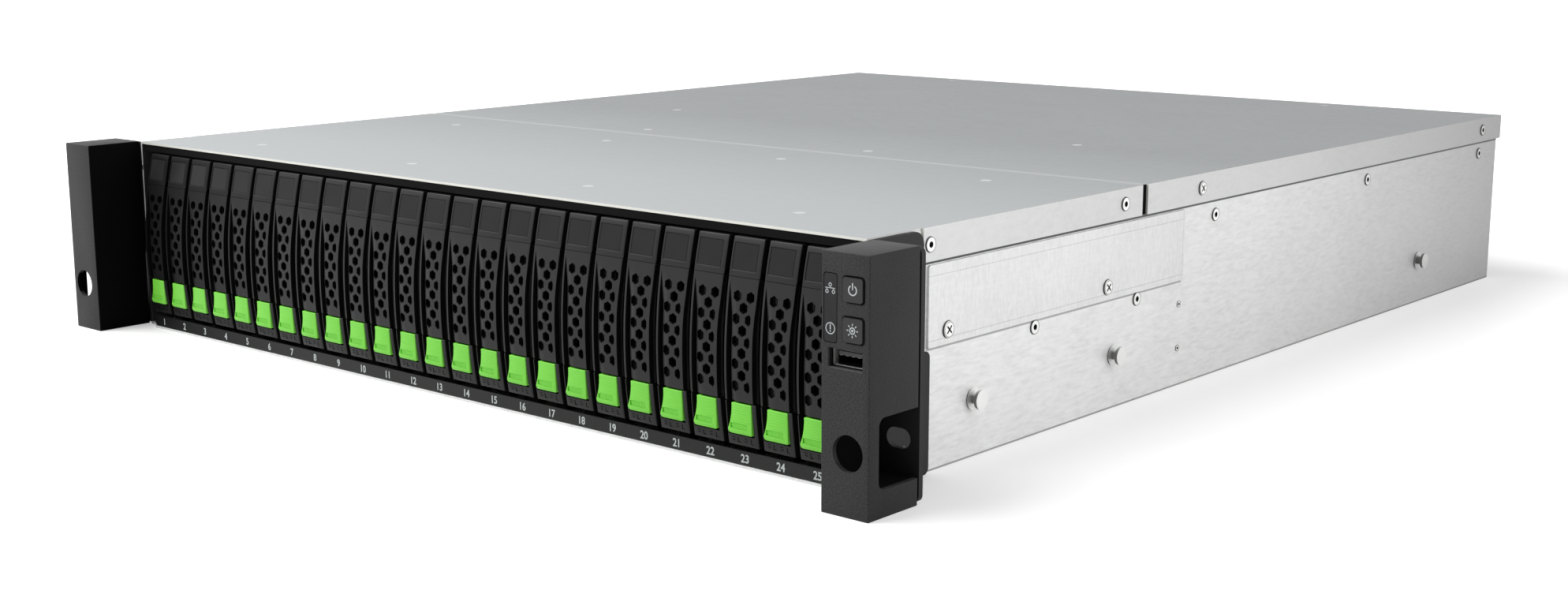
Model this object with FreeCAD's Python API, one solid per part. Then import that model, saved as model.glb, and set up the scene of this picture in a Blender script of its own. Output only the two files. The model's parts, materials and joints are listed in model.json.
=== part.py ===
import FreeCAD, Part
import math
import os

from FreeCAD import Vector

# Rack-mounted disk shelf, 2 rack units high, with a row of 2.5-inch drive carriers.
# Millimetres. X runs to the right, Y from front to rear and Z up.
# While modelling, Y = 0 is the front edge of the cover. save() moves every piece so
# that the origin ends up under the middle of the whole enclosure, on its underside.

# ---- driving sizes -------------------------------------------------------------------

# Sheet-metal body
rack_width = 482.6
ear_overhang = 22.05
body_height = 88.0
body_length = 542.5
sheet = 1.2
cover_sheet = 1.0
cover_overhang = 2.7
cover_flange_height = 12.2
cover_split_y = 177.4
cover_split_gap = 1.4
flange_split_gap = 4.0
flange_front_gap = 0.6
lip_reach = 4.0
lip_end_inset = 7.25
lip_corner = 3.5

# Clearances
seat_gap = 0.3
slide_gap = 0.4
pin_gap = 0.05
rivet_gap = 0.05

# How far a cutting shape reaches past the surface that it cuts
overshoot = 1.0

# Drive bays and the curved front of a carrier
bay_pitch = 16.8
bay_end_margin = 9.0
carrier_width = 14.8
carrier_bottom = 8.5
carrier_top = 83.1
head_rise = 3.0
front_radius = 174.0
front_apex_y = -7.0
front_apex_z = 38.0
shell_thickness = 1.8
frame_back_y = 8.0
frame_post = 1.2
drive_height = 69.85
drive_length = 100.45
drive_thickness = 14.2
drive_front_y = 38.0
jointed_bays = (3, 13, 23)

# Carrier lever, with its vents and the channel beside them
lever_bottom = 25.0
lever_pivot_y = 0.0
lever_pivot_z = 66.5
lever_end_radius = 4.9
lever_pin_radius = 1.0
lever_lug_radius = 2.0
lever_ear_radius = 3.0
lever_wall_back_y = 1.5
vent_across_flats = 3.3
vent_column_x = (-1.2, 1.9, 4.6)
vent_rows = 5
vent_row_pitch = 8.0
vent_low_z = 30.7
vent_edge_x = 5.8
channel_left_x = -6.2
channel_right_x = -3.2
channel_top_z = 67.0
channel_depth = 1.0
channel_bend = 30.0

# Status window in the carrier's head
window_left_x = -6.1
window_right_x = 4.8
window_bottom_z = 71.7
window_top_z = 80.8
window_depth = 0.5

# Release tab below the lever
tab_bottom = 13.0
tab_top = 24.4
tab_top_left_x = -4.3
tab_bottom_left_x = -6.3
tab_right_x = 5.8
tab_proud = 0.8
tab_back_y = -3.0
tab_pocket_back_y = -0.8
tab_pivot_y = -4.6
tab_pivot_z = 14.6
tab_pin_radius = 0.6
tab_pin_left_reach = 0.5
tab_pin_right_reach = 0.9
tab_corner = 1.0

# Guides, roof and number strip
rail_base_width = 6.0
rail_fin_height = 4.0
rail_front_y = 9.0
rail_back_y = 134.0
roof_length = 190.0
roof_front_y = 0.5
roof_fold_height = 3.2
strip_height = 5.3
strip_thickness = 1.2

# Backplane
backplane_sheet = 2.4
drive_socket_length = 6.0
drive_socket_width = 5.0
drive_socket_height = 42.0
backplane_side_gap = 1.0
backplane_slot_width = 6.0
backplane_slot_height = 20.0
module_socket_length = 4.0
module_socket_width = 60.0
module_socket_height = 12.0

# Ears: steel bracket and plastic housing
ear_width = 20.0
ear_depth = 26.1
ear_wall = 1.8
ear_corner = 1.0
bracket_face_y = 1.0
bracket_sheet = 2.2
bracket_leg = 1.7
bracket_lower_leg = 2.2
bracket_leg_back_y = 29.5
bracket_lower_back_y = 33.0
bracket_step_z = 44.7
bracket_margin = 0.6
bracket_corner = 5.0
bracket_lobe_radius = 4.5
bracket_lobe_z = 79.5
rack_hole_inset = 8.75
rack_hole_z = 21.8
rack_slot_length = 10.0
rack_slot_width = 7.0
tool_hole_radius = 6.3
pocket_bottom = 9.6
pocket_top = 34.0
pocket_front_y = -20.8
pocket_corner = 3.0

# Controls in the right ear
button_width = 8.1
button_height = 8.0
button_inset = 6.65
power_button_z = 76.2
locate_button_z = 63.0
button_proud = 0.6
button_corner = 1.0
button_gap = 0.3
button_travel = 1.0
button_flange = 0.5
button_flange_thickness = 1.2
button_stem_radius = 1.5
button_stem_length = 3.5
indicator_width = 5.3
indicator_height = 22.7
indicator_inset = 16.25
indicator_z = 69.35
indicator_depth = 1.0
indicator_corner = 1.0
indicator_post_radius = 0.9
indicator_post_offset = 6.5
usb_width = 13.2
usb_height = 5.7
usb_inset = 10.0
usb_z = 53.0
usb_sheet = 0.4
usb_front_inset = 0.2
usb_back_wall = 1.5
usb_tongue_thickness = 1.4
usb_tongue_margin = 1.0
usb_tongue_drop = 0.5
io_board_y = -12.0
io_board_sheet = 1.6
io_board_bottom = 40.0
io_board_top = 85.0
io_switch_side = 4.5
lamp_side = 2.0
lamp_height = 0.8
lamp_gap = 0.2

# Side plates, studs, rivets and screws
plate_sheet = 1.0
plate_front_y = 33.6
plate_back_y = 210.0
plate_bottom = 45.0
plate_top = 74.4
plate_corner = 0.8
plate_screws = ((45.1, 50.2), (150.8, 50.2))
plate_screw_radius = 3.1
front_stud_y = (62.5, 158.0)
rear_stud_inset = 93.9
stud_z = 21.8
stud_base_radius = 4.2
stud_base_height = 0.5
stud_shank_radius = 2.0
stud_head_radius = 3.7
stud_head_height = 1.2
stud_reach = 4.2
front_side_rivets = ((101.3, 42.0), (174.6, 42.0), (236.8, 69.2), (384.4, 69.2))
rear_side_rivet_inset = 23.0
rear_side_rivet_z = 69.6
clinch_marks = ((208.7, 34.8), (208.7, 16.1))
front_flange_rivets = (33.9, 162.1)
rear_flange_rivet_inset = 22.3
rear_flange_screws = (223.0,)
rivet_radius = 2.7
rivet_head = 0.5
rivet_eye_radius = 1.1
rivet_shank_radius = 1.6
clinch_radius = 1.4
flange_screw_radius = 2.9
screw_head = 1.3
screw_shank_radius = 1.5
screw_cross_width = 0.9
screw_cross_share = 0.6
screw_cross_depth = 0.8
flush_head_radius = 2.3
flush_head_depth = 0.5
front_top_rivets_x = (-164.4, -54.8, 54.8, 164.4)
front_top_rivets_y = (29.7, 146.5)
lap_rivets = ((-74.5, 194.5), (65.5, 194.5))
rear_top_rivets_x = (-133.5, 124.5)
rear_top_rivets_y = 277.0
last_top_rivets_inset = 9.5
bracket_screws = ((12.0, 72.0), (12.0, 54.0), (18.0, 30.0), (18.0, 10.0))
bracket_screw_radius = 3.2

# Rear frame, canisters and power supplies
shelf_sheet = 1.2
canister_width = 230.4
module_wall = 1.0
module_front_gap = 0.6
handle_reach = 24.0
port_depth = 14.0
sas_port_width = 22.0
sas_port_height = 9.6
sas_port_x = (-8.0, 24.0)
lan_port_width = 14.6
lan_port_height = 12.6
lan_port_x = 62.0
port_shell = 1.0
canister_lever_length = 78.0
canister_lever_height = 12.0
canister_lever_thickness = 6.0
canister_lever_pin_radius = 1.6
canister_lever_pin_inset = 11.0
canister_lever_lug = 2.5
canister_grip_depth = 14.0
canister_grip_width = 6.0
canister_grip_corner = 1.5
fan_radius = 32.0
fan_side_margin = 3.0
fan_hub_radius = 12.0
fan_shaft_radius = 2.0
fan_blades = 7
fan_blade_pitch_angle = 35.0
fan_blade_thickness = 1.6
fan_depth = 20.0
fan_guard_gap = 3.0
fan_strut_width = 5.0
fan_strut_depth = 4.0
fan_strut_gap = 1.0
fan_shaft_end = 1.0
fan_tip_gap = 1.5
fan_blade_root = 1.5
fan_blade_chord = 16.0
guard_ring_width = 1.4
guard_rings = (12.0, 19.0, 26.0)
guard_spoke_angles = (45, 135)
inlet_x_inset = 18.0
inlet_z = 24.0
inlet_width = 27.0
inlet_height = 19.8
inlet_depth = 16.0
inlet_wall = 2.0
inlet_pin_recess = 5.0
inlet_pin_places = ((-7.0, -2.0), (7.0, -2.0), (0.0, 3.0))
inlet_pin_thickness = 2.0
inlet_pin_height = 5.0
handle_bar_radius = 3.0
handle_low_z = 44.0
handle_high_z = 78.0

# ---- sizes worked out from the driving sizes ------------------------------------------

half_rack = rack_width / 2
body_width = rack_width - 2 * ear_overhang
half_body = body_width / 2
lip_half_width = half_body - lip_end_inset
bay_count = int((body_width - 2 * bay_end_margin) / bay_pitch)
rack_hole_x = half_rack - rack_hole_inset
button_x = half_rack - button_inset
indicator_x = half_rack - indicator_inset
usb_x = half_rack - usb_inset
stud_y = front_stud_y + (body_length - rear_stud_inset,)
side_rivets = front_side_rivets + ((body_length - rear_side_rivet_inset, rear_side_rivet_z),)
rear_flange_rivets = (body_length - rear_flange_rivet_inset,)
rear_top_rivets = lap_rivets + tuple(
    (x, y) for y in (rear_top_rivets_y, body_length - last_top_rivets_inset) for x in rear_top_rivets_x
)
inner_half = half_body - sheet
cover_under = body_height - cover_sheet
cover_length = body_length + cover_overhang
flange_bottom = body_height - cover_flange_height
flange_rivet_z = body_height - cover_flange_height / 2
flange_start_y = bracket_leg_back_y + flange_front_gap
outer_flange = half_body + cover_sheet
roof_under = cover_under - sheet
front_reach = ear_depth + button_proud
overall_length = front_reach + cover_length + handle_reach
origin_shift = front_reach - overall_length / 2
half_carrier = carrier_width / 2
front_axis_y = front_apex_y + front_radius
shell_reach = lever_wall_back_y - front_apex_y + 2 * overshoot
drive_bottom = (carrier_bottom + carrier_top - drive_height) / 2
drive_top = drive_bottom + drive_height
drive_back_y = drive_front_y + drive_length
socket_front_y = drive_back_y + seat_gap
backplane_front_y = socket_front_y + drive_socket_length
backplane_back_y = backplane_front_y + backplane_sheet
module_front_y = backplane_back_y + module_socket_length + module_front_gap
module_back_y = body_length
canister_height = (roof_under - sheet - shelf_sheet - 4 * seat_gap) / 2
lower_canister_z = sheet + seat_gap
shelf_z = lower_canister_z + canister_height + seat_gap
upper_canister_z = shelf_z + shelf_sheet + seat_gap
rail_fin_width = bay_pitch - carrier_width - 2 * slide_gap
divider_x = canister_width / 2 + seat_gap
supply_inner_x = divider_x + shelf_sheet + seat_gap
supply_outer_x = inner_half - seat_gap
supply_bottom = sheet + seat_gap
supply_top = roof_under - seat_gap
ear_inner_x = half_rack - ear_width
ear_front_y = -ear_depth


# ---- helpers --------------------------------------------------------------------------

def box(x_low, x_high, y_low, y_high, z_low, z_high):
    return Part.makeBox(
        x_high - x_low, y_high - y_low, z_high - z_low, Vector(x_low, y_low, z_low)
    )


def rod(start, end, radius):
    direction = end - start
    return Part.makeCylinder(radius, direction.Length, start, direction)


def rod_x(x_low, x_high, y, z, radius):
    return rod(Vector(x_low, y, z), Vector(x_high, y, z), radius)


def rod_y(x, y_low, y_high, z, radius):
    return rod(Vector(x, y_low, z), Vector(x, y_high, z), radius)


def rod_z(x, y, z_low, z_high, radius):
    return rod(Vector(x, y, z_low), Vector(x, y, z_high), radius)


def fuse(shapes):
    shapes = list(shapes)
    if len(shapes) == 1:
        return shapes[0]
    return shapes[0].multiFuse(shapes[1:]).removeSplitter()


def cut(shape, tools):
    tools = list(tools)
    return shape.cut(tools) if tools else shape


# A flat outline with rounded corners, swept along a straight vector.
# Each corner is a point and its radius; a radius of 0 leaves it sharp.
def rounded_prism(corners, sweep):
    edges = []
    ends = []
    count = len(corners)
    for index, (point, radius) in enumerate(corners):
        before = (corners[index - 1][0] - point).normalize()
        after = (corners[(index + 1) % count][0] - point).normalize()
        if radius <= 0:
            ends.append((point, None, point))
            continue
        half_angle = before.getAngle(after) / 2
        reach = radius / math.tan(half_angle)
        bisector = (before + after).normalize()
        middle = point + bisector * (radius / math.sin(half_angle) - radius)
        ends.append((point + before * reach, middle, point + after * reach))
    for index, (start, middle, end) in enumerate(ends):
        if middle is not None:
            edges.append(Part.Arc(start, middle, end).toShape())
        next_start = ends[(index + 1) % count][0]
        if (next_start - end).Length > 1e-6:
            edges.append(Part.LineSegment(end, next_start).toShape())
    return Part.Face(Part.Wire(edges)).extrude(sweep)


def rounded_box_x(x_low, x_high, y_low, y_high, z_low, z_high, radius):
    corners = [
        (Vector(x_low, y_low, z_low), radius), (Vector(x_low, y_high, z_low), radius),
        (Vector(x_low, y_high, z_high), radius), (Vector(x_low, y_low, z_high), radius),
    ]
    return rounded_prism(corners, Vector(x_high - x_low, 0, 0))


def rounded_box_y(x_low, x_high, y_low, y_high, z_low, z_high, radius):
    corners = [
        (Vector(x_low, y_low, z_low), radius), (Vector(x_high, y_low, z_low), radius),
        (Vector(x_high, y_low, z_high), radius), (Vector(x_low, y_low, z_high), radius),
    ]
    return rounded_prism(corners, Vector(0, y_high - y_low, 0))


def mirrored(shape):
    return shape.mirror(Vector(0, 0, 0), Vector(1, 0, 0))


def both_sides(shapes):
    shapes = list(shapes)
    return shapes + [mirrored(shape) for shape in shapes]


def moved(shape, x=0.0, y=0.0, z=0.0):
    copy = shape.copy()
    copy.translate(Vector(x, y, z))
    return copy


# One node: its separate solids in one file, moved to the enclosure's own frame.
def save(name, shapes):
    solids = []
    for shape in shapes:
        solids.extend(shape.Solids)
    group = solids[0] if len(solids) == 1 else Part.makeCompound(solids)
    placed = moved(group, y=origin_shift)
    placed.exportStep(os.path.join("parts", name + ".step"))
    print(name, len(solids), "solids", round(placed.Volume / 1000, 2), "cm3", placed.isValid())


# ---- fasteners and their holes ---------------------------------------------------------

# A blind rivet on the outside of the right-hand wall, with the eye left by its mandrel.
def side_rivet(face_x, y, z, radius):
    head = rod_x(face_x, face_x + rivet_head, y, z, radius)
    shank = rod_x(inner_half, face_x, y, z, rivet_shank_radius)
    eye = rod_x(face_x - rivet_head, face_x + rivet_head, y, z, rivet_eye_radius)
    return cut(fuse([head, shank]), [eye])


def side_rivet_hole(y, z):
    return rod_x(inner_half - overshoot, outer_flange + overshoot, y, z, rivet_shank_radius + rivet_gap)


# A clinched pin end: it fills its hole and stands a hair off the wall.
def clinch_pin(y, z):
    head = rod_x(half_body, half_body + rivet_head / 2, y, z, clinch_radius)
    shank = rod_x(inner_half, half_body, y, z, clinch_radius / 2)
    return fuse([head, shank])


def clinch_hole(y, z):
    return rod_x(inner_half - overshoot, half_body + overshoot, y, z, clinch_radius / 2 + rivet_gap)


# A domed cross-recessed screw whose head lies on the sheet at face_x.
def side_screw(face_x, y, z, radius):
    dome_radius = (radius ** 2 + screw_head ** 2) / (2 * screw_head)
    ball = Part.makeSphere(dome_radius, Vector(face_x + screw_head - dome_radius, y, z))
    head = ball.common(rod_x(face_x, face_x + screw_head, y, z, radius))
    shank = rod_x(inner_half, face_x, y, z, screw_shank_radius)
    arm = radius * screw_cross_share
    half_slot = screw_cross_width / 2
    bottom = face_x + screw_head - screw_cross_depth
    top = face_x + screw_head + overshoot
    upright = box(bottom, top, y - half_slot, y + half_slot, z - arm, z + arm)
    level = box(bottom, top, y - arm, y + arm, z - half_slot, z + half_slot)
    return cut(fuse([head, shank]), [upright, level])


def side_screw_hole(y, z):
    return rod_x(inner_half - overshoot, outer_flange + overshoot, y, z, screw_shank_radius + rivet_gap)


# Flush rivets in the cover: a stepped hole and a rivet that fills it to the surface.
def flush_rivet(x, y):
    head = rod_z(x, y, body_height - flush_head_depth, body_height, flush_head_radius)
    shank = rod_z(x, y, cover_under - sheet, body_height - flush_head_depth, screw_shank_radius)
    return fuse([head, shank])


def flush_rivet_hole(x, y):
    head = rod_z(
        x, y, body_height - flush_head_depth, body_height + overshoot, flush_head_radius + rivet_gap
    )
    shank = rod_z(x, y, cover_under - sheet - overshoot, body_height, screw_shank_radius + rivet_gap)
    return fuse([head, shank])


def front_top_places():
    return [(x, y) for x in front_top_rivets_x for y in front_top_rivets_y]


# Flat-headed screws that hold the ear bracket's leg to the wall.
def bracket_leg_face(z):
    return half_body + (bracket_lower_leg if z < bracket_step_z else bracket_leg)


def bracket_screw(y, z):
    face_x = bracket_leg_face(z)
    head_low = face_x - flush_head_depth
    head = rod_x(head_low, face_x, y, z, bracket_screw_radius)
    shank = rod_x(inner_half, head_low, y, z, screw_shank_radius)
    arm = bracket_screw_radius * screw_cross_share
    half_slot = screw_cross_width / 2
    low = face_x - flush_head_depth / 2
    upright = box(low, face_x + overshoot, y - half_slot, y + half_slot, z - arm, z + arm)
    level = box(low, face_x + overshoot, y - arm, y + arm, z - half_slot, z + half_slot)
    return cut(fuse([head, shank]), [upright, level])


def bracket_screw_hole(y, z):
    face_x = bracket_leg_face(z)
    head = rod_x(
        face_x - flush_head_depth, face_x + overshoot, y, z, bracket_screw_radius + rivet_gap
    )
    shank = rod_x(inner_half - overshoot, face_x, y, z, screw_shank_radius + rivet_gap)
    return fuse([head, shank])


# A headed stud for the slotted slide rail: foot, shank and head on one axis.
def rail_stud(y):
    foot = rod_x(half_body, half_body + stud_base_height, y, stud_z, stud_base_radius)
    shank = rod_x(inner_half, half_body + stud_reach, y, stud_z, stud_shank_radius)
    head_low = half_body + stud_reach - stud_head_height
    head = rod_x(head_low, half_body + stud_reach, y, stud_z, stud_head_radius)
    return fuse([foot, shank, head])


def rail_stud_hole(y):
    return rod_x(inner_half - overshoot, half_body + overshoot, y, stud_z, stud_shank_radius + rivet_gap)


# ---- body -----------------------------------------------------------------------------

def make_chassis_base():
    floor = box(-half_body, half_body, 0, body_length, 0, sheet)
    lip = rounded_prism(
        [
            (Vector(-lip_half_width, -lip_reach, 0), lip_corner),
            (Vector(lip_half_width, -lip_reach, 0), lip_corner),
            (Vector(lip_half_width, sheet, 0), 0),
            (Vector(-lip_half_width, sheet, 0), 0),
        ],
        Vector(0, 0, sheet),
    )
    wall = box(inner_half, half_body, 0, body_length, 0, cover_under)
    holes = [side_rivet_hole(y, z) for y, z in side_rivets]
    holes += [clinch_hole(y, z) for y, z in clinch_marks]
    holes += [side_rivet_hole(y, flange_rivet_z) for y in front_flange_rivets + rear_flange_rivets]
    holes += [side_screw_hole(y, flange_rivet_z) for y in rear_flange_screws]
    holes += [side_screw_hole(y, z) for y, z in plate_screws]
    holes += [bracket_screw_hole(y, z) for y, z in bracket_screws]
    holes += [rail_stud_hole(y) for y in stud_y]
    wall = cut(wall, holes)
    return fuse([floor, lip, wall, mirrored(wall)])


def make_cover(front_y, back_y, flange_front_y, flange_back_y, rivets_y, screws_y, top_places):
    top = box(-half_body, half_body, front_y, back_y, cover_under, body_height)
    flange = box(
        half_body, outer_flange, flange_front_y, flange_back_y, flange_bottom, body_height
    )
    holes = [side_rivet_hole(y, flange_rivet_z) for y in rivets_y]
    holes += [side_screw_hole(y, flange_rivet_z) for y in screws_y]
    flange = cut(flange, holes)
    shell = fuse([top, flange, mirrored(flange)])
    return cut(shell, [flush_rivet_hole(x, y) for x, y in top_places])


def make_front_cover():
    return make_cover(
        0, cover_split_y - cover_split_gap / 2,
        flange_start_y, cover_split_y - flange_split_gap / 2,
        front_flange_rivets, (), front_top_places(),
    )


def make_rear_cover():
    return make_cover(
        cover_split_y + cover_split_gap / 2, cover_length,
        cover_split_y + flange_split_gap / 2, cover_length,
        rear_flange_rivets, rear_flange_screws, rear_top_rivets,
    )


# The roof over the carriers is one folded sheet; its front fold shows above the row.
def make_cage_roof():
    roof = box(-inner_half, inner_half, roof_front_y, roof_length, roof_under, cover_under)
    fold = box(
        -inner_half, inner_half, roof_front_y, roof_front_y + sheet,
        cover_under - roof_fold_height, roof_under,
    )
    places = [place for place in front_top_places() + list(rear_top_rivets)
              if place[1] + flush_head_radius < roof_length]
    holes = [rod_z(x, y, roof_under - overshoot, cover_under + overshoot, screw_shank_radius + rivet_gap)
             for x, y in places]
    return cut(fuse([roof, fold]), holes)


def bay_x(bay):
    return (bay - (bay_count + 1) / 2) * bay_pitch


# Each rail is a T in section: the carriers' edges run on its base, on both sides of its fin.
def make_guide_rails():
    rails = []
    low_top = carrier_bottom - seat_gap
    high_bottom = carrier_top + seat_gap
    half_base = rail_base_width / 2
    half_fin = rail_fin_width / 2
    for gap in range(bay_count + 1):
        x = bay_x(gap + 0.5)
        low_base = box(x - half_base, x + half_base, rail_front_y, rail_back_y, sheet, low_top)
        low_fin = box(
            x - half_fin, x + half_fin, rail_front_y, rail_back_y,
            low_top, low_top + rail_fin_height,
        )
        high_base = box(
            x - half_base, x + half_base, rail_front_y, rail_back_y, high_bottom, roof_under
        )
        high_fin = box(
            x - half_fin, x + half_fin, rail_front_y, rail_back_y,
            high_bottom - rail_fin_height, high_bottom,
        )
        rails.append(fuse([low_base, low_fin]))
        rails.append(fuse([high_base, high_fin]))
    return rails


def make_number_strip():
    front_y = -lip_reach
    return rounded_prism(
        [
            (Vector(-lip_half_width + lip_corner, front_y, sheet), 0),
            (Vector(lip_half_width - lip_corner, front_y, sheet), 0),
            (Vector(lip_half_width - lip_corner, front_y + strip_thickness, sheet), 0),
            (Vector(-lip_half_width + lip_corner, front_y + strip_thickness, sheet), 0),
        ],
        Vector(0, 0, strip_height),
    )


# ---- ears -----------------------------------------------------------------------------

def make_right_bracket():
    face_top = body_height - bracket_margin
    face = rounded_prism(
        [
            (Vector(half_body, bracket_face_y, bracket_margin), 0),
            (Vector(half_rack, bracket_face_y, bracket_margin), bracket_corner / 2),
            (Vector(half_rack, bracket_face_y, face_top), bracket_corner / 2),
            (Vector(half_body, bracket_face_y, face_top), 0),
        ],
        Vector(0, bracket_sheet, 0),
    )
    half_slot = rack_slot_length / 2
    slot = rounded_box_y(
        rack_hole_x - half_slot, rack_hole_x + half_slot,
        bracket_face_y - overshoot, bracket_face_y + bracket_sheet + overshoot,
        rack_hole_z - rack_slot_width / 2, rack_hole_z + rack_slot_width / 2,
        rack_slot_width / 2,
    )
    upper_leg = rounded_prism(
        [
            (Vector(half_body, bracket_face_y, bracket_margin), 0),
            (Vector(half_body, bracket_leg_back_y, bracket_margin), 0),
            (Vector(half_body, bracket_leg_back_y, face_top), bracket_corner),
            (Vector(half_body, bracket_face_y, face_top), 0),
        ],
        Vector(bracket_leg, 0, 0),
    )
    lower_leg = rounded_prism(
        [
            (Vector(half_body, bracket_face_y, bracket_margin / 2), 0),
            (Vector(half_body, bracket_lower_back_y, bracket_margin / 2), bracket_corner / 2),
            (Vector(half_body, bracket_lower_back_y, bracket_step_z), bracket_corner / 2),
            (Vector(half_body, bracket_face_y, bracket_step_z), 0),
        ],
        Vector(bracket_lower_leg, 0, 0),
    )
    lobe = rod_x(
        half_body, half_body + bracket_leg,
        bracket_leg_back_y - bracket_lobe_radius, bracket_lobe_z, bracket_lobe_radius,
    )
    holes = [bracket_screw_hole(y, z) for y, z in bracket_screws]
    return cut(fuse([cut(face, [slot]), upper_leg, lower_leg, lobe]), holes)


# A plastic box, open to the rear. Below its floor plate lies a pocket, open on the outer
# side, where the rack screw goes in; the tool hole in the front faces that screw.
def make_right_housing():
    back_y = bracket_face_y
    outer = rounded_prism(
        [
            (Vector(ear_inner_x, ear_front_y, 0), ear_corner / 2),
            (Vector(half_rack, ear_front_y, 0), ear_corner),
            (Vector(half_rack, back_y, 0), 0),
            (Vector(ear_inner_x, back_y, 0), 0),
        ],
        Vector(0, 0, body_height),
    )
    left = ear_inner_x + ear_wall
    right = half_rack - ear_wall
    front = ear_front_y + ear_wall
    cavity = box(left, right, front, back_y + overshoot, pocket_top + ear_wall, body_height - ear_wall)
    pocket = box(left, right, front, back_y + overshoot, pocket_bottom, pocket_top)
    foot = box(left, right, front, back_y + overshoot, ear_wall, pocket_bottom - ear_wall)
    window = rounded_prism(
        [
            (Vector(right - overshoot, pocket_front_y, pocket_bottom), pocket_corner),
            (Vector(right - overshoot, back_y + overshoot, pocket_bottom), 0),
            (Vector(right - overshoot, back_y + overshoot, pocket_top), 0),
            (Vector(right - overshoot, pocket_front_y, pocket_top), pocket_corner),
        ],
        Vector(ear_wall + overshoot, 0, 0),
    )
    tool_hole = rod_y(
        rack_hole_x, ear_front_y - overshoot, front + overshoot, rack_hole_z, tool_hole_radius
    )
    return cut(outer, [cavity, pocket, foot, window, tool_hole])


def button_cap(z, proud, grow, front_y, back_y):
    half_width = button_width / 2 + grow
    half_height = button_height / 2 + grow
    return rounded_box_y(
        button_x - half_width, button_x + half_width, front_y - proud, back_y,
        z - half_height, z + half_height, button_corner,
    )


def add_controls(housing):
    front = ear_front_y - overshoot
    inside = ear_front_y + ear_wall + overshoot
    openings = [
        button_cap(z, 0, button_gap, front, inside) for z in (power_button_z, locate_button_z)
    ]
    openings.append(box(
        usb_x - usb_width / 2 - pin_gap, usb_x + usb_width / 2 + pin_gap, front, inside,
        usb_z - usb_height / 2 - pin_gap, usb_z + usb_height / 2 + pin_gap,
    ))
    openings.append(rounded_box_y(
        indicator_x - indicator_width / 2, indicator_x + indicator_width / 2,
        front, ear_front_y + indicator_depth,
        indicator_z - indicator_height / 2, indicator_z + indicator_height / 2, indicator_corner,
    ))
    for side in (-1, 1):
        openings.append(rod_y(
            indicator_x, ear_front_y, inside, indicator_z + side * indicator_post_offset,
            indicator_post_radius + pin_gap,
        ))
    return cut(housing, openings)


# Push button: cap in the front wall, retaining flange behind it and a stem to the switch.
def make_button(z):
    wall_back = ear_front_y + ear_wall
    flange_front = wall_back + button_gap
    flange_back = flange_front + button_flange_thickness
    cap = button_cap(z, button_proud, 0, ear_front_y, flange_front)
    flange = button_cap(z, 0, button_flange, flange_front, flange_back)
    stem = rod_y(button_x, flange_back, flange_back + button_stem_length, z, button_stem_radius)
    return fuse([cap, flange, stem])


def make_indicator_window():
    pane = rounded_box_y(
        indicator_x - indicator_width / 2 + pin_gap, indicator_x + indicator_width / 2 - pin_gap,
        ear_front_y, ear_front_y + indicator_depth,
        indicator_z - indicator_height / 2 + pin_gap, indicator_z + indicator_height / 2 - pin_gap,
        indicator_corner - pin_gap,
    )
    posts = [
        rod_y(
            indicator_x, ear_front_y + indicator_depth, io_board_y - lamp_height - lamp_gap,
            indicator_z + side * indicator_post_offset, indicator_post_radius,
        )
        for side in (-1, 1)
    ]
    return fuse([pane] + posts)


# Circuit board in the right ear, with its two switches, two lamps and the USB receptacle.
def make_front_io_board():
    left = ear_inner_x + ear_wall + pin_gap
    right = half_rack - ear_wall - pin_gap
    board = box(
        left, right, io_board_y, io_board_y + io_board_sheet, io_board_bottom, io_board_top
    )
    stem_back = ear_front_y + ear_wall + button_gap + button_flange_thickness + button_stem_length
    switch_front = stem_back + button_travel + seat_gap
    half_switch = io_switch_side / 2
    half_lamp = lamp_side / 2
    pieces = [board]
    for z in (power_button_z, locate_button_z):
        pieces.append(box(
            button_x - half_switch, button_x + half_switch, switch_front, io_board_y,
            z - half_switch, z + half_switch,
        ))
    for side in (-1, 1):
        z = indicator_z + side * indicator_post_offset
        pieces.append(box(
            indicator_x - half_lamp, indicator_x + half_lamp,
            io_board_y - lamp_height, io_board_y, z - half_lamp, z + half_lamp,
        ))
    left = usb_x - usb_width / 2
    right = usb_x + usb_width / 2
    low = usb_z - usb_height / 2
    high = usb_z + usb_height / 2
    outside = box(left, right, ear_front_y + usb_front_inset, io_board_y, low, high)
    inside = box(
        left + usb_sheet, right - usb_sheet, ear_front_y - overshoot, io_board_y - usb_back_wall,
        low + usb_sheet, high - usb_sheet,
    )
    tongue_top = high - usb_sheet - usb_tongue_drop
    tongue = box(
        left + usb_tongue_margin, right - usb_tongue_margin,
        ear_front_y + usb_tongue_margin, io_board_y - usb_back_wall,
        tongue_top - usb_tongue_thickness, tongue_top,
    )
    pieces.append(fuse([cut(outside, [inside]), tongue]))
    return pieces


# ---- drive carriers, each modelled in the bay at X = 0 ---------------------------------

def front_cylinder(radius):
    return rod_x(
        -half_carrier - overshoot, half_carrier + overshoot, front_axis_y, front_apex_z, radius
    )


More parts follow.
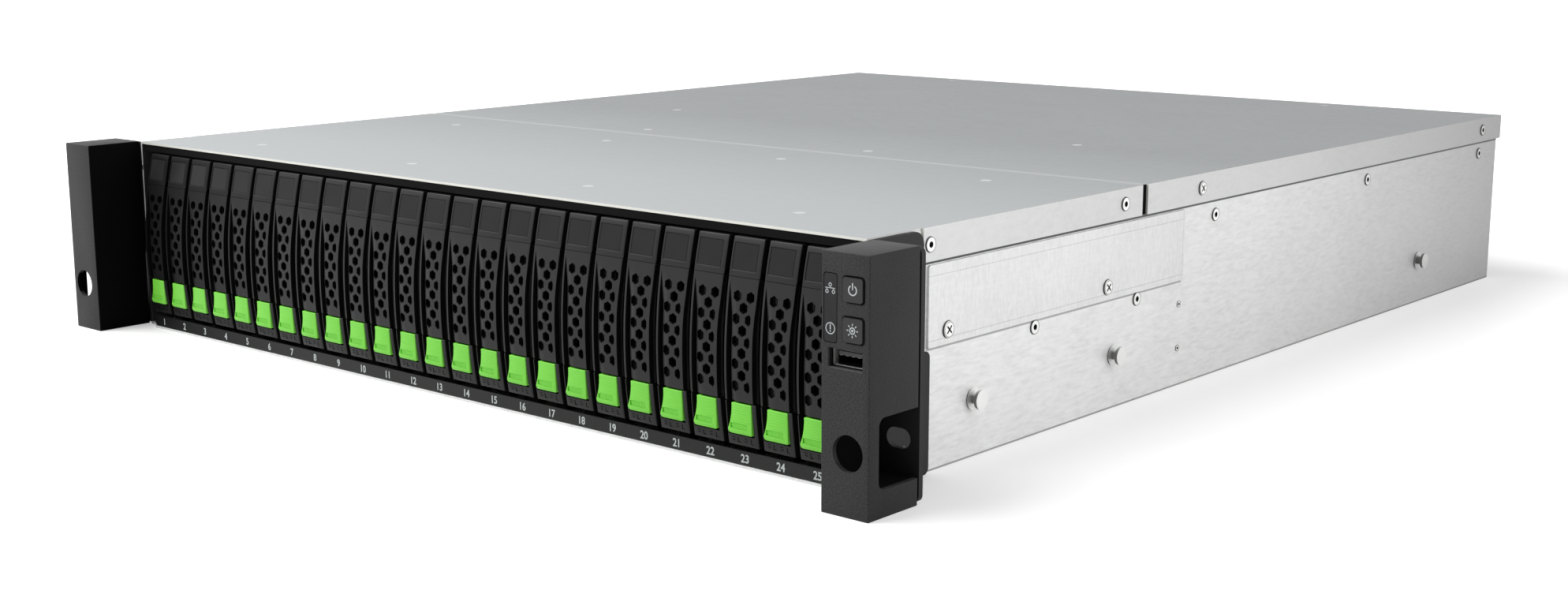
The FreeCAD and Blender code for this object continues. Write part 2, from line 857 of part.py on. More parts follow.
def make_tray():
    front = front_apex_y - overshoot
    width = half_carrier
    head_block = box(-width, width, front, frame_back_y, lever_pivot_z + head_rise, carrier_top)
    foot_block = box(-width, width, front, frame_back_y, carrier_bottom, lever_bottom - seat_gap)
    blocks = fuse([head_block, foot_block]).common(front_cylinder(front_radius))
    lever_sweep = rod_x(
        -width - overshoot, width + overshoot, lever_pivot_y, lever_pivot_z, lever_end_radius + seat_gap
    )
    blocks = cut(blocks, [lever_sweep])
    post_front_y = lever_pivot_y + lever_end_radius + seat_gap
    posts = [
        box(-width, -width + frame_post, post_front_y, frame_back_y,
            lever_bottom - overshoot, lever_pivot_z + head_rise + overshoot),
        box(width - frame_post, width, post_front_y, frame_back_y,
            lever_bottom - overshoot, lever_pivot_z + head_rise + overshoot),
    ]
    lug_half = width - frame_post - seat_gap
    lug = rod_x(-lug_half, lug_half, lever_pivot_y, lever_pivot_z, lever_lug_radius)
    arm = box(
        -lug_half, lug_half, lever_pivot_y, frame_back_y,
        lever_pivot_z - lever_lug_radius, lever_pivot_z + lever_lug_radius,
    )
    bridge = box(
        -width, width, frame_back_y - overshoot, frame_back_y,
        lever_pivot_z - lever_lug_radius, lever_pivot_z + head_rise + overshoot,
    )
    rails = [
        box(-width, width, frame_back_y - overshoot, drive_back_y, carrier_bottom, drive_bottom),
        box(-width, width, frame_back_y - overshoot, drive_back_y, drive_top, carrier_top),
    ]
    tray = fuse([blocks, lug, arm, bridge] + posts + rails)
    pin_hole = rod_x(
        -width - overshoot, width + overshoot, lever_pivot_y, lever_pivot_z, lever_pin_radius + pin_gap
    )
    pocket = box(
        tab_bottom_left_x - seat_gap, tab_right_x + seat_gap, front - overshoot, tab_pocket_back_y,
        tab_bottom - 2 * seat_gap, lever_bottom + overshoot,
    )
    tab_hole = rod_x(
        tab_bottom_left_x - tab_pin_left_reach - pin_gap,
        tab_right_x + tab_pin_right_reach + pin_gap,
        tab_pivot_y, tab_pivot_z, tab_pin_radius + pin_gap,
    )
    recess = box(
        window_left_x, window_right_x, front - overshoot, frame_back_y, window_bottom_z, window_top_z
    )
    recess = cut(recess, [front_cylinder(front_radius - window_depth)])
    return cut(tray, [pin_hole, pocket, tab_hole, recess])


def make_status_window():
    pane = box(
        window_left_x + pin_gap, window_right_x - pin_gap, front_apex_y - overshoot, frame_back_y,
        window_bottom_z + pin_gap, window_top_z - pin_gap,
    )
    shell = cut(front_cylinder(front_radius), [front_cylinder(front_radius - window_depth)])
    return pane.common(shell)


def vent(x, z):
    across_corners = vent_across_flats / math.sqrt(3)
    points = [
        (
            Vector(
                x + across_corners * math.sin(math.radians(60 * corner)), front_apex_y - overshoot,
                z + across_corners * math.cos(math.radians(60 * corner)),
            ),
            0,
        )
        for corner in range(6)
    ]
    return rounded_prism(points, Vector(0, shell_reach, 0))


def vent_places():
    places = []
    for column, x in enumerate(vent_column_x):
        offset = 0.5 if column == 1 else 0.0
        rows = vent_rows - 1 if column == 1 else vent_rows
        for row in range(rows):
            places.append((x, vent_low_z + (row + offset) * vent_row_pitch))
    return places


# The lever's front is a curved shell with turned-back sides; its upper end is round about
# the pivot, so that it turns beside the tray's head without touching it.
def make_lever():
    width = half_carrier
    inner_width = width - frame_post
    low = lever_bottom
    high = lever_pivot_z + lever_end_radius
    outline = fuse([
        box(-width, width, front_apex_y - overshoot, lever_wall_back_y, low, lever_pivot_z),
        rod_x(-width, width, lever_pivot_y, lever_pivot_z, lever_end_radius).common(
            box(-width, width, front_apex_y - overshoot, lever_wall_back_y, lever_pivot_z, high)
        ),
    ])
    body = outline.common(front_cylinder(front_radius))
    hollow = box(
        -inner_width, inner_width, front_apex_y, lever_wall_back_y + overshoot,
        low - overshoot, high + overshoot,
    )
    hollow = hollow.common(front_cylinder(front_radius - shell_thickness))
    shell = cut(body, [hollow])
    channel_bottom = low - overshoot
    channel_middle = (low + channel_top_z) / 2
    channel = rounded_prism(
        [
            (Vector(channel_left_x, front_apex_y - overshoot, channel_bottom), 0),
            (Vector(channel_right_x, front_apex_y - overshoot, channel_bottom), 0),
            (Vector(channel_right_x, front_apex_y - overshoot, channel_middle), channel_bend),
            (Vector(channel_left_x, front_apex_y - overshoot, channel_top_z), 0),
        ],
        Vector(0, shell_reach, 0),
    )
    channel = cut(channel, [front_cylinder(front_radius - channel_depth)])
    clip = box(
        -width, vent_edge_x, front_apex_y - overshoot, lever_wall_back_y + overshoot, low, lever_pivot_z
    )
    vents = [vent(x, z).common(clip) for x, z in vent_places()]
    pin = rod_x(-width, width, lever_pivot_y, lever_pivot_z, lever_pin_radius)
    ear_disc = [
        rod_x(low_x, low_x + frame_post, lever_pivot_y, lever_pivot_z, lever_ear_radius)
        for low_x in (-width, inner_width)
    ]
    return fuse([cut(shell, [channel] + vents), pin] + ear_disc)


def make_tab():
    outline_y = front_apex_y - tab_proud - overshoot
    outline = rounded_prism(
        [
            (Vector(tab_bottom_left_x, outline_y, tab_bottom), tab_corner),
            (Vector(tab_right_x, outline_y, tab_bottom), 0),
            (Vector(tab_right_x, outline_y, tab_top), 0),
            (Vector(tab_top_left_x, outline_y, tab_top), 0),
        ],
        Vector(0, tab_back_y - outline_y, 0),
    )
    body = outline.common(front_cylinder(front_radius + tab_proud))
    pin = rod_x(
        tab_bottom_left_x - tab_pin_left_reach, tab_right_x + tab_pin_right_reach,
        tab_pivot_y, tab_pivot_z, tab_pin_radius,
    )
    return fuse([body, pin])


def make_drive():
    half_drive = drive_thickness / 2
    return box(-half_drive, half_drive, drive_front_y, drive_back_y, drive_bottom, drive_top)


def save_carriers():
    fixed = [make_tray(), make_status_window(), make_drive()]
    lever = make_lever()
    tab = make_tab()
    for bay in range(1, bay_count + 1):
        x = bay_x(bay)
        own_joints = bay in jointed_bays
        pieces = fixed if own_joints else fixed + [lever, tab]
        save("drive_carrier_%02d" % bay, [moved(piece, x=x) for piece in pieces])
        if own_joints:
            save("carrier_lever_%02d" % bay, [moved(lever, x=x)])
            save("carrier_tab_%02d" % bay, [moved(tab, x=x)])


# ---- backplane --------------------------------------------------------------------------

def make_backplane_board():
    half_board = inner_half - backplane_side_gap
    board = box(
        -half_board, half_board, backplane_front_y, backplane_back_y, sheet, roof_under
    )
    half_slot = backplane_slot_width / 2
    slots = []
    for gap in range(1, bay_count):
        x = bay_x(gap + 0.5)
        for z in (drive_bottom, drive_top - backplane_slot_height):
            slots.append(box(
                x - half_slot, x + half_slot,
                backplane_front_y - overshoot, backplane_back_y + overshoot,
                z, z + backplane_slot_height,
            ))
    return cut(board, slots)


def make_backplane_connectors():
    half_width = drive_socket_width / 2
    middle_z = (drive_bottom + drive_top) / 2
    half_height = drive_socket_height / 2
    sockets = [
        box(
            bay_x(bay) - half_width, bay_x(bay) + half_width, socket_front_y, backplane_front_y,
            middle_z - half_height, middle_z + half_height,
        )
        for bay in range(1, bay_count + 1)
    ]
    half_width = module_socket_width / 2
    half_height = module_socket_height / 2
    supply_x = (supply_inner_x + supply_outer_x) / 2
    places = [
        (0, lower_canister_z + canister_height / 2), (0, upper_canister_z + canister_height / 2),
        (supply_x, body_height / 2), (-supply_x, body_height / 2),
    ]
    for x, z in places:
        sockets.append(box(
            x - half_width, x + half_width,
            backplane_back_y, backplane_back_y + module_socket_length,
            z - half_height, z + half_height,
        ))
    return sockets


# ---- rear frame, canisters and power supplies -------------------------------------------

def make_rear_frame():
    divider = box(
        divider_x, divider_x + shelf_sheet, backplane_back_y + seat_gap, body_length,
        sheet, roof_under,
    )
    shelf = box(
        -divider_x, divider_x, backplane_back_y + seat_gap, body_length,
        shelf_z, shelf_z + shelf_sheet,
    )
    return fuse([divider, mirrored(divider), shelf])


# A folded metal box, hollow inside.
def hollow_case(x_low, x_high, z_low, z_high):
    outside = box(x_low, x_high, module_front_y, module_back_y, z_low, z_high)
    inside = box(
        x_low + module_wall, x_high - module_wall,
        module_front_y + module_wall, module_back_y - module_wall,
        z_low + module_wall, z_high - module_wall,
    )
    return cut(outside, [inside])


# A rectangular receptacle set in the rear face: closed at its inner end, open to the rear.
def port_tube(x, z, width, height):
    half_width = width / 2
    half_height = height / 2
    front_y = module_back_y - port_depth
    outside = box(
        x - half_width - port_shell, x + half_width + port_shell,
        front_y - port_shell, module_back_y - module_wall,
        z - half_height - port_shell, z + half_height + port_shell,
    )
    inside = box(
        x - half_width, x + half_width, front_y, module_back_y + overshoot,
        z - half_height, z + half_height,
    )
    return cut(outside, [inside]), inside


def lever_pin_place():
    x = -canister_width / 2 + canister_lever_pin_inset
    y = module_back_y + seat_gap + canister_lever_thickness / 2
    return x, y


def make_canister(z_low):
    half_width = canister_width / 2
    middle_z = z_low + canister_height / 2
    case = hollow_case(-half_width, half_width, z_low, z_low + canister_height)
    pieces = []
    holes = []
    ports = [(x, sas_port_width, sas_port_height) for x in sas_port_x]
    ports.append((lan_port_x, lan_port_width, lan_port_height))
    for x, width, height in ports:
        tube, hole = port_tube(x, middle_z, width, height)
        pieces.append(tube)
        holes.append(hole)
    pin_x, pin_y = lever_pin_place()
    half_lever = canister_lever_height / 2
    lug_radius = canister_lever_thickness / 2 + overshoot
    lugs = []
    for side in (-1, 1):
        low = middle_z + side * (half_lever + seat_gap)
        high = low + side * canister_lever_lug
        lug = rod_z(pin_x, pin_y, min(low, high), max(low, high), lug_radius)
        root = box(
            pin_x - lug_radius, pin_x + lug_radius, module_back_y, pin_y,
            min(low, high), max(low, high),
        )
        lugs.append(fuse([lug, root]))
    pin_reach = half_lever + seat_gap + canister_lever_lug
    pin = rod_z(
        pin_x, pin_y, middle_z - pin_reach, middle_z + pin_reach, canister_lever_pin_radius
    )
    pieces.insert(0, fuse([cut(case, holes)] + lugs + [pin]))
    return pieces


# The canister's ejector lever lies along the rear face and ends in an upturned finger grip.
def make_canister_lever(z_low):
    middle_z = z_low + canister_height / 2
    pin_x, pin_y = lever_pin_place()
    half_height = canister_lever_height / 2
    low_y = module_back_y + seat_gap
    bar = box(
        pin_x, pin_x + canister_lever_length, low_y, low_y + canister_lever_thickness,
        middle_z - half_height, middle_z + half_height,
    )
    boss = rod_z(
        pin_x, pin_y, middle_z - half_height, middle_z + half_height,
        canister_lever_thickness / 2,
    )
    grip_x = pin_x + canister_lever_length
    grip = rounded_box_x(
        grip_x - canister_grip_width, grip_x, low_y + canister_lever_thickness / 2,
        low_y + canister_grip_depth, middle_z - half_height, middle_z + half_height,
        canister_grip_corner,
    )
    bore = rod_z(
        pin_x, pin_y, middle_z - half_height - overshoot, middle_z + half_height + overshoot,
        canister_lever_pin_radius + pin_gap,
    )
    return cut(fuse([bar, boss, grip]), [bore])


def fan_place():
    return supply_outer_x - fan_side_margin - fan_radius, (supply_bottom + supply_top) / 2


# Power supply with its own fan: case with a ring guard, appliance inlet and pull handle.
def make_right_supply():
    case = hollow_case(supply_inner_x, supply_outer_x, supply_bottom, supply_top)
    fan_x, fan_z = fan_place()
    wall_low = module_back_y - module_wall - overshoot
    mouth = rod_y(fan_x, wall_low, module_back_y + overshoot, fan_z, fan_radius)
    keep = []
    for radius in guard_rings:
        ring = cut(
            rod_y(fan_x, wall_low, module_back_y, fan_z, radius + guard_ring_width / 2),
            [rod_y(
                fan_x, wall_low - overshoot, module_back_y + overshoot, fan_z,
                radius - guard_ring_width / 2,
            )],
        )
        keep.append(ring)
    for turn in guard_spoke_angles:
        spoke = box(
            fan_x - fan_radius - overshoot, fan_x + fan_radius + overshoot, wall_low, module_back_y,
            fan_z - guard_ring_width / 2, fan_z + guard_ring_width / 2,
        )
        spoke.rotate(Vector(fan_x, 0, fan_z), Vector(0, 1, 0), turn)
        keep.append(spoke)
    inlet_x = supply_inner_x + inlet_x_inset
    half_width = inlet_width / 2
    half_height = inlet_height / 2
    inlet_front = module_back_y - inlet_depth
    inlet_hole = box(
        inlet_x - half_width, inlet_x + half_width, inlet_front, module_back_y + overshoot,
        inlet_z - half_height, inlet_z + half_height,
    )
    inlet_body = box(
        inlet_x - half_width - inlet_wall, inlet_x + half_width + inlet_wall,
        inlet_front - inlet_wall, module_back_y - module_wall,
        inlet_z - half_height - inlet_wall, inlet_z + half_height + inlet_wall,
    )
    case = cut(case, [cut(mouth, keep), inlet_hole])
    pins = []
    for offset_x, offset_z in inlet_pin_places:
        pins.append(box(
            inlet_x + offset_x - inlet_pin_thickness / 2,
            inlet_x + offset_x + inlet_pin_thickness / 2,
            inlet_front, module_back_y - inlet_pin_recess,
            inlet_z + offset_z - inlet_pin_height / 2, inlet_z + offset_z + inlet_pin_height / 2,
        ))
    inlet = fuse([cut(inlet_body, [inlet_hole])] + pins)
    reach_y = cover_length + handle_reach - handle_bar_radius
    posts = [
        rod_y(inlet_x, module_back_y, reach_y, z, handle_bar_radius)
        for z in (handle_low_z, handle_high_z)
    ]
    grip = rod_z(inlet_x, reach_y, handle_low_z, handle_high_z, handle_bar_radius)
    knees = [
        Part.makeSphere(handle_bar_radius, Vector(inlet_x, reach_y, z))
        for z in (handle_low_z, handle_high_z)
    ]
    handle = fuse(posts + [grip] + knees)
    return [case, inlet, handle] + make_fan_carrier()


# Cross struts inside the case carry the fan's fixed shaft.
def make_fan_carrier():
    fan_x, fan_z = fan_place()
    rotor_back = module_back_y - module_wall - fan_guard_gap
    rotor_front = rotor_back - fan_depth
    strut_back = rotor_front - fan_strut_gap
    strut_front = strut_back - fan_strut_depth
    half_width = fan_strut_width / 2
    low = supply_bottom + module_wall
    high = supply_top - module_wall
    left = supply_inner_x + module_wall
    right = supply_outer_x - module_wall
    upright = box(fan_x - half_width, fan_x + half_width, strut_front, strut_back, low, high)
    level = box(left, right, strut_front, strut_back, fan_z - half_width, fan_z + half_width)
    motor = rod_y(fan_x, strut_front, strut_back, fan_z, fan_hub_radius)
    shaft = rod_y(fan_x, strut_front, rotor_back + fan_shaft_end, fan_z, fan_shaft_radius)
    return [fuse([upright, level, motor, shaft])]


def make_right_fan():
    fan_x, fan_z = fan_place()
    rotor_back = module_back_y - module_wall - fan_guard_gap
    rotor_front = rotor_back - fan_depth
    hub = rod_y(fan_x, rotor_front, rotor_back, fan_z, fan_hub_radius)
    tip = fan_radius - fan_tip_gap
    half_chord = fan_blade_chord / 2
    blades = []
    middle_y = (rotor_front + rotor_back) / 2
    for index in range(fan_blades):
        blade = box(
            fan_x + fan_hub_radius - fan_blade_root, fan_x + tip,
            middle_y - fan_blade_thickness / 2, middle_y + fan_blade_thickness / 2,
            fan_z - half_chord, fan_z + half_chord,
        )
        blade.rotate(
            Vector(fan_x, middle_y, fan_z), Vector(1, 0, 0), fan_blade_pitch_angle
        )
        blade.rotate(
            Vector(fan_x, middle_y, fan_z), Vector(0, 1, 0), index * 360.0 / fan_blades
        )
        blades.append(blade)
    envelope = rod_y(fan_x, rotor_front, rotor_back, fan_z, tip)
    bore = rod_y(
        fan_x, rotor_front - overshoot, rotor_back + overshoot, fan_z,
        fan_shaft_radius + pin_gap,
    )
    return cut(fuse([hub] + blades).common(envelope), [bore])


# ---- small parts in groups -----------------------------------------------------------------

def make_side_plate():
    plate = rounded_box_x(
        half_body, half_body + plate_sheet, plate_front_y, plate_back_y,
        plate_bottom, plate_top, plate_corner,
    )
    return cut(plate, [side_screw_hole(y, z) for y, z in plate_screws])


def make_rivets():
    right = [side_rivet(half_body, y, z, rivet_radius) for y, z in side_rivets]
    right += [clinch_pin(y, z) for y, z in clinch_marks]
    right += [
        side_rivet(outer_flange, y, flange_rivet_z, rivet_radius)
        for y in front_flange_rivets + rear_flange_rivets
    ]
    top = [flush_rivet(x, y) for x, y in front_top_places() + list(rear_top_rivets)]
    return both_sides(right) + top


def make_screws():
    right = [
        side_screw(half_body + plate_sheet, y, z, plate_screw_radius) for y, z in plate_screws
    ]
    right += [
        side_screw(outer_flange, y, flange_rivet_z, flange_screw_radius)
        for y in rear_flange_screws
    ]
    right += [bracket_screw(y, z) for y, z in bracket_screws]
    return both_sides(right)


# ---- build ---------------------------------------------------------------------------------

os.makedirs("parts", exist_ok=True)

save("chassis_base", [make_chassis_base()])
save("front_cover", [make_front_cover()])
save("rear_cover", [make_rear_cover()])
save("cage_roof", [make_cage_roof()])
save("guide_rails", make_guide_rails())
save("number_strip", [make_number_strip()])
save("backplane_board", [make_backplane_board()])
save("backplane_connectors", make_backplane_connectors())

right_bracket = make_right_bracket()
right_housing = make_right_housing()
save("right_ear_bracket", [right_bracket])
save("left_ear_bracket", [mirrored(right_bracket)])
save("right_ear_housing", [add_controls(right_housing)])
save("left_ear_housing", [mirrored(right_housing)])
save("power_button", [make_button(power_button_z)])
save("locate_button", [make_button(locate_button_z)])
save("indicator_window", [make_indicator_window()])
save("front_io_board", make_front_io_board())

save("side_plates", both_sides([make_side_plate()]))
save("rail_studs", both_sides([rail_stud(y) for y in stud_y]))
save("rivets", make_rivets())
save("screws", make_screws())

save_carriers()

save("rear_frame", [make_rear_frame()])
save("lower_canister", make_canister(lower_canister_z))
save("upper_canister", make_canister(upper_canister_z))
save("lower_canister_lever", [make_canister_lever(lower_canister_z)])
save("upper_canister_lever", [make_canister_lever(upper_canister_z)])
right_supply = make_right_supply()
right_fan = make_right_fan()
save("right_power_supply", right_supply)
save("left_power_supply", [mirrored(piece) for piece in right_supply])
save("right_fan_rotor", [right_fan])
save("left_fan_rotor", [mirrored(right_fan)])
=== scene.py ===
import json
import math

import bpy
from mathutils import Matrix, Vector

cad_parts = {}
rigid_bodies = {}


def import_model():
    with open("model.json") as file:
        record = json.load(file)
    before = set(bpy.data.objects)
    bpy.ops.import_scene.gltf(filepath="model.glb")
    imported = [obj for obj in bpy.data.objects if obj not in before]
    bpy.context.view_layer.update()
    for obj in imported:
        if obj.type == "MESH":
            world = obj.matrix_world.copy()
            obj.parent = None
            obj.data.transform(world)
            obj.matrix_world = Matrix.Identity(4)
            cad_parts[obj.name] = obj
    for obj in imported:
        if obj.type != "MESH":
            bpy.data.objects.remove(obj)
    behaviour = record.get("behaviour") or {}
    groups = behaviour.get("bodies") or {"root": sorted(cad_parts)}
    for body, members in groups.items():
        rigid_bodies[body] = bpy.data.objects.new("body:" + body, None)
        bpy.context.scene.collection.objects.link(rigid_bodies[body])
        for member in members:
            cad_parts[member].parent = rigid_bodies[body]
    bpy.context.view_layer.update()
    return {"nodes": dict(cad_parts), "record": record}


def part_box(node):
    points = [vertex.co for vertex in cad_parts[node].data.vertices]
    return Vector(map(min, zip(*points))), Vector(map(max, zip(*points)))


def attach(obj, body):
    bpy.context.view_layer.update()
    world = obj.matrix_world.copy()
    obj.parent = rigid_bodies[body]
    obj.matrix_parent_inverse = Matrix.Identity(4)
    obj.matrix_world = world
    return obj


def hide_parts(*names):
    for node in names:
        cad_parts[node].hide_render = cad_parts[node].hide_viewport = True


# Disk shelf enclosure: finishes, carrier fronts, ears, printed marks and rear sockets around
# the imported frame. Blender works in metres, and the modelling helpers take millimetres.

mm = 0.001

for leftover in list(bpy.data.objects):
    bpy.data.objects.remove(leftover)

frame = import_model()
nodes = frame["nodes"]
bayNodes = sorted(name for name in nodes if name.startswith("drive_carrier_"))
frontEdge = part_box("front_cover")[0].y  # the cover's front edge, from which depths are counted
print("frame loaded:", len(nodes), "nodes")


# modelling helpers

def selectNone():
    bpy.ops.object.select_all(action="DESELECT")


def makeActive(piece):
    selectNone()
    piece.select_set(True)
    bpy.context.view_layer.objects.active = piece


def editAll(piece):
    makeActive(piece)
    bpy.ops.object.mode_set(mode="EDIT")
    bpy.ops.mesh.select_all(action="SELECT")


def leaveEdit():
    bpy.ops.object.mode_set(mode="OBJECT")


def settle(name):
    piece = bpy.context.active_object
    piece.name = name
    bpy.ops.object.transform_apply(location=True, rotation=True, scale=True)
    return piece


def pick(settings, names):
    return [settings[name] for name in names.split()]


def clamped(value):
    return min(max(value, 0.0), 1.0)


def nodeBox(node):
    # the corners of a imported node, in millimetres
    return [[value / mm for value in corner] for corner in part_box(node)]


def middleOf(low, high):
    return [(a + b) / 2 for a, b in zip(low, high)]


def around(x, z, halfX, halfZ, front, back):
    # the corners of a box that is centred in X and Z and runs from front to back
    return (x - halfX, front, z - halfZ), (x + halfX, back, z + halfZ)


def block(name, low, high):
    selectNone()
    place = [value * mm for value in middleOf(low, high)]
    size = [(b - a) * mm for a, b in zip(low, high)]
    bpy.ops.mesh.primitive_cube_add(size=1, location=place, scale=size)
    return settle(name)


def rod(name, centre, radius, length, axis="Y", sides=32):
    selectNone()
    turn = {"X": (0, math.pi / 2, 0), "Y": (math.pi / 2, 0, 0)}[axis]
    bpy.ops.mesh.primitive_cylinder_add(
        vertices=sides, radius=radius * mm, depth=length * mm,
        location=[value * mm for value in centre], rotation=turn,
    )
    return settle(name)


def prism(name, outline, front, back):
    # an outline in X and Z, pushed straight back from front to back
    selectNone()
    bpy.ops.mesh.primitive_circle_add(vertices=len(outline), radius=mm, fill_type="NGON")
    piece = settle(name)
    for vertex, (x, z) in zip(piece.data.vertices, outline):
        vertex.co = (x * mm, front * mm, z * mm)
    editAll(piece)
    bpy.ops.mesh.extrude_region_move(TRANSFORM_OT_translate={"value": (0, (back - front) * mm, 0)})
    bpy.ops.mesh.select_all(action="SELECT")
    bpy.ops.mesh.normals_make_consistent(inside=False)
    leaveEdit()
    return piece


def applyModifier(piece, kind, **settings):
    makeActive(piece)
    modifier = piece.modifiers.new(kind.lower(), kind)
    for key, value in settings.items():
        setattr(modifier, key, value)
    bpy.ops.object.modifier_apply(modifier=modifier.name)


def bevelEdges(piece, width, segments=3, angle=40):
    applyModifier(
        piece, "BEVEL", width=width * mm, segments=segments,
        limit_method="ANGLE", angle_limit=math.radians(angle),
    )


def cutAway(piece, cutters):
    for cutter in cutters:
        applyModifier(piece, "BOOLEAN", object=cutter, operation="DIFFERENCE", solver="EXACT")
        bpy.data.objects.remove(cutter)


def joinPieces(name, pieces):
    makeActive(pieces[0])
    for piece in pieces[1:]:
        piece.select_set(True)
    bpy.ops.object.join()
    pieces[0].name = name
    return pieces[0]


def sliceAlong(piece, axis, low, high, count):
    # evenly spaced edge loops across one axis, so that the piece can follow a curve
    editAll(piece)
    normal = [1.0 if letter == axis else 0.0 for letter in "XYZ"]
    for step in range(1, count):
        place = (low + (high - low) * step / count) * mm
        bpy.ops.mesh.select_all(action="SELECT")
        bpy.ops.mesh.bisect(plane_co=[place * value for value in normal], plane_no=normal)
    leaveEdit()


def smoothEdges(piece, angle=35):
    makeActive(piece)
    bpy.ops.object.shade_smooth_by_angle(angle=math.radians(angle))


def copyTo(master, name, offset):
    piece = master.copy()
    piece.data = master.data.copy()
    piece.name = name
    piece.data.transform(Matrix.Translation(offset))
    bpy.context.scene.collection.objects.link(piece)
    return piece


def mirrorAcross(piece):
    # to the other side of the shelf, with its faces still pointing outwards
    piece.data.transform(Matrix.Diagonal((-1, 1, 1, 1)))
    editAll(piece)
    bpy.ops.mesh.flip_normals()
    leaveEdit()


def cornered(name, low, high, radius, axis, segments=4):
    # a block whose edges along one axis are rounded
    piece = block(name, low, high)
    order = "XYZ".index(axis)
    attribute = piece.data.attributes.new("bevel_weight_edge", "FLOAT", "EDGE")
    for edge in piece.data.edges:
        first, second = (piece.data.vertices[index].co for index in edge.vertices)
        along = abs(first[order] - second[order]) > 1e-6
        attribute.data[edge.index].value = 1.0 if along else 0.0
    applyModifier(piece, "BEVEL", width=radius * mm, segments=segments, limit_method="WEIGHT")
    return piece


def flared(name, low, high, radius, grow):
    # an opening's cutter that widens towards the front
    piece = cornered(name, low, high, radius, "Y")
    middle = [value * mm for value in middleOf(low, high)]
    for vertex in piece.data.vertices:
        if vertex.co.y < middle[1]:
            vertex.co.x += math.copysign(grow * mm, vertex.co.x - middle[0])
            vertex.co.z += math.copysign(grow * mm, vertex.co.z - middle[2])
    return piece


# shader maths

class Wire:
    # one socket of a node tree, so that sums of sockets read as plain expressions

    def __init__(self, tree, socket=None):
        self.tree = tree
        self.socket = socket

    def node(self, kind, settings=None, inputs=None, output=0):
        made = self.tree.nodes.new("ShaderNode" + kind)
        for key, value in (settings or {}).items():
            if key == "stops":
                fillRamp(made.color_ramp, value)
            else:
                setattr(made, key, value)
        for key, value in (inputs or {}).items():
            if isinstance(value, Wire):
                self.tree.links.new(value.socket, made.inputs[key])
            else:
                made.inputs[key].default_value = value
        return Wire(self.tree, made.outputs[output] if made.outputs else None)

    def maths(self, operation, first, second):
        return self.node("Math", {"operation": operation}, {0: first, 1: second})

    def __add__(self, other):
        return self.maths("ADD", self, other)

    def __radd__(self, other):
        return self.maths("ADD", other, self)

    def __sub__(self, other):
        return self.maths("SUBTRACT", self, other)

    def __rsub__(self, other):
        return self.maths("SUBTRACT", other, self)

    def __mul__(self, other):
        return self.maths("MULTIPLY", self, other)

    def __rmul__(self, other):
        return self.maths("MULTIPLY", other, self)

    def __abs__(self):
        return self.maths("ABSOLUTE", self, 0.0)

    def over(self, limit):
        return self.maths("GREATER_THAN", self, limit)

    def under(self, limit):
        return self.maths("LESS_THAN", self, limit)


def fillRamp(ramp, stops):
    while len(ramp.elements) < len(stops):
        ramp.elements.new(1.0)
    for element, (place, colour) in zip(ramp.elements, stops):
        element.position = place
        element.color = (*colour, 1.0)


def grey(value):
    return (value, value, value)


def toned(colour, share):
    return tuple(min(value * share, 1.0) for value in colour)


def clearTree(owner):
    owner.use_nodes = True
    owner.node_tree.nodes.clear()
    return Wire(owner.node_tree)


def startMaterial(name):
    material = bpy.data.materials.new(name)
    return material, clearTree(material).node("TexCoord", output="Object")


def finishMaterial(material, coordinates, base, rough, relief, metal=0.0, shine=0.5, shade=None):
    # painted shade: where shade, from 0 to 1, says the surface lies in deep shade, a dull near-black is
    # mixed in
    shader = coordinates.node("BsdfPrincipled", inputs={
        "Base Color": base, "Roughness": rough, "Normal": relief,
        "Metallic": metal, "Specular IOR Level": shine,
    })
    if shade:
        dull = {"Base Color": (0.003, 0.003, 0.003, 1), "Roughness": 0.9, "Specular IOR Level": 0.03}
        shader = shade.node("MixShader", inputs={
            0: shade, 1: shader, 2: shade.node("BsdfPrincipled", inputs=dull),
        })
    coordinates.node("OutputMaterial", inputs={"Surface": shader})
    return material


def noise(coordinates, scale, detail=3.0, roughness=0.55):
    # a scale with three parts stretches the pattern
    if isinstance(scale, tuple):
        coordinates = coordinates.node("Mapping", inputs={"Vector": coordinates, "Scale": scale})
        scale = 1.0
    return coordinates.node("TexNoise", inputs={
        "Vector": coordinates, "Scale": scale, "Detail": detail, "Roughness": roughness,
    })


def swing(pattern, amount, middle=0.0):
    # a pattern between 0 and 1 made a swing of this amount about a middle
    return pattern * amount + (middle - amount / 2)


def rise(value, low, high):
    # 0 below low, 1 above high and a smooth step between
    return value.node("MapRange", {"interpolation_type": "SMOOTHSTEP"}, {
        "Value": value, "From Min": low, "From Max": high, "To Min": 0.0, "To Max": 1.0,
    })


def band(value, low, high, soft):
    # 1 between low and high, fading over soft on either side
    return rise(value, low - soft, low) * (1.0 - rise(value, high, high + soft))


def strongest(first, *others):
    for other in others:
        first = first.maths("MAXIMUM", first, other)
    return first


def blendColour(factor, first, second):
    # on a Mix node, sockets 6 and 7 are its colours and result 2 is their blend
    first, second = (
        colour if isinstance(colour, Wire) else (*colour, 1.0) for colour in (first, second)
    )
    return factor.node("Mix", {"data_type": "RGBA"}, {0: factor, 6: first, 7: second}, output=2)


def tinted(colour, paintedShading):
    # painted shade: a colour multiplied by a grey shading
    settings = {"data_type": "RGBA", "blend_type": "MULTIPLY"}
    return colour.node("Mix", settings, {0: 1.0, 6: colour, 7: paintedShading}, output=2)


def bump(height, strength, distance):
    return height.node(
        "Bump", inputs={"Height": height, "Strength": strength, "Distance": distance}
    )


def along(vector, axis):
    return vector.node("SeparateXYZ", inputs={0: vector}, output=axis)


def facing(coordinates, axis):
    # the outward direction's share along one axis
    return along(coordinates.node("TexCoord", output="Normal"), axis)


print("helpers ready")


# camera, floor and light

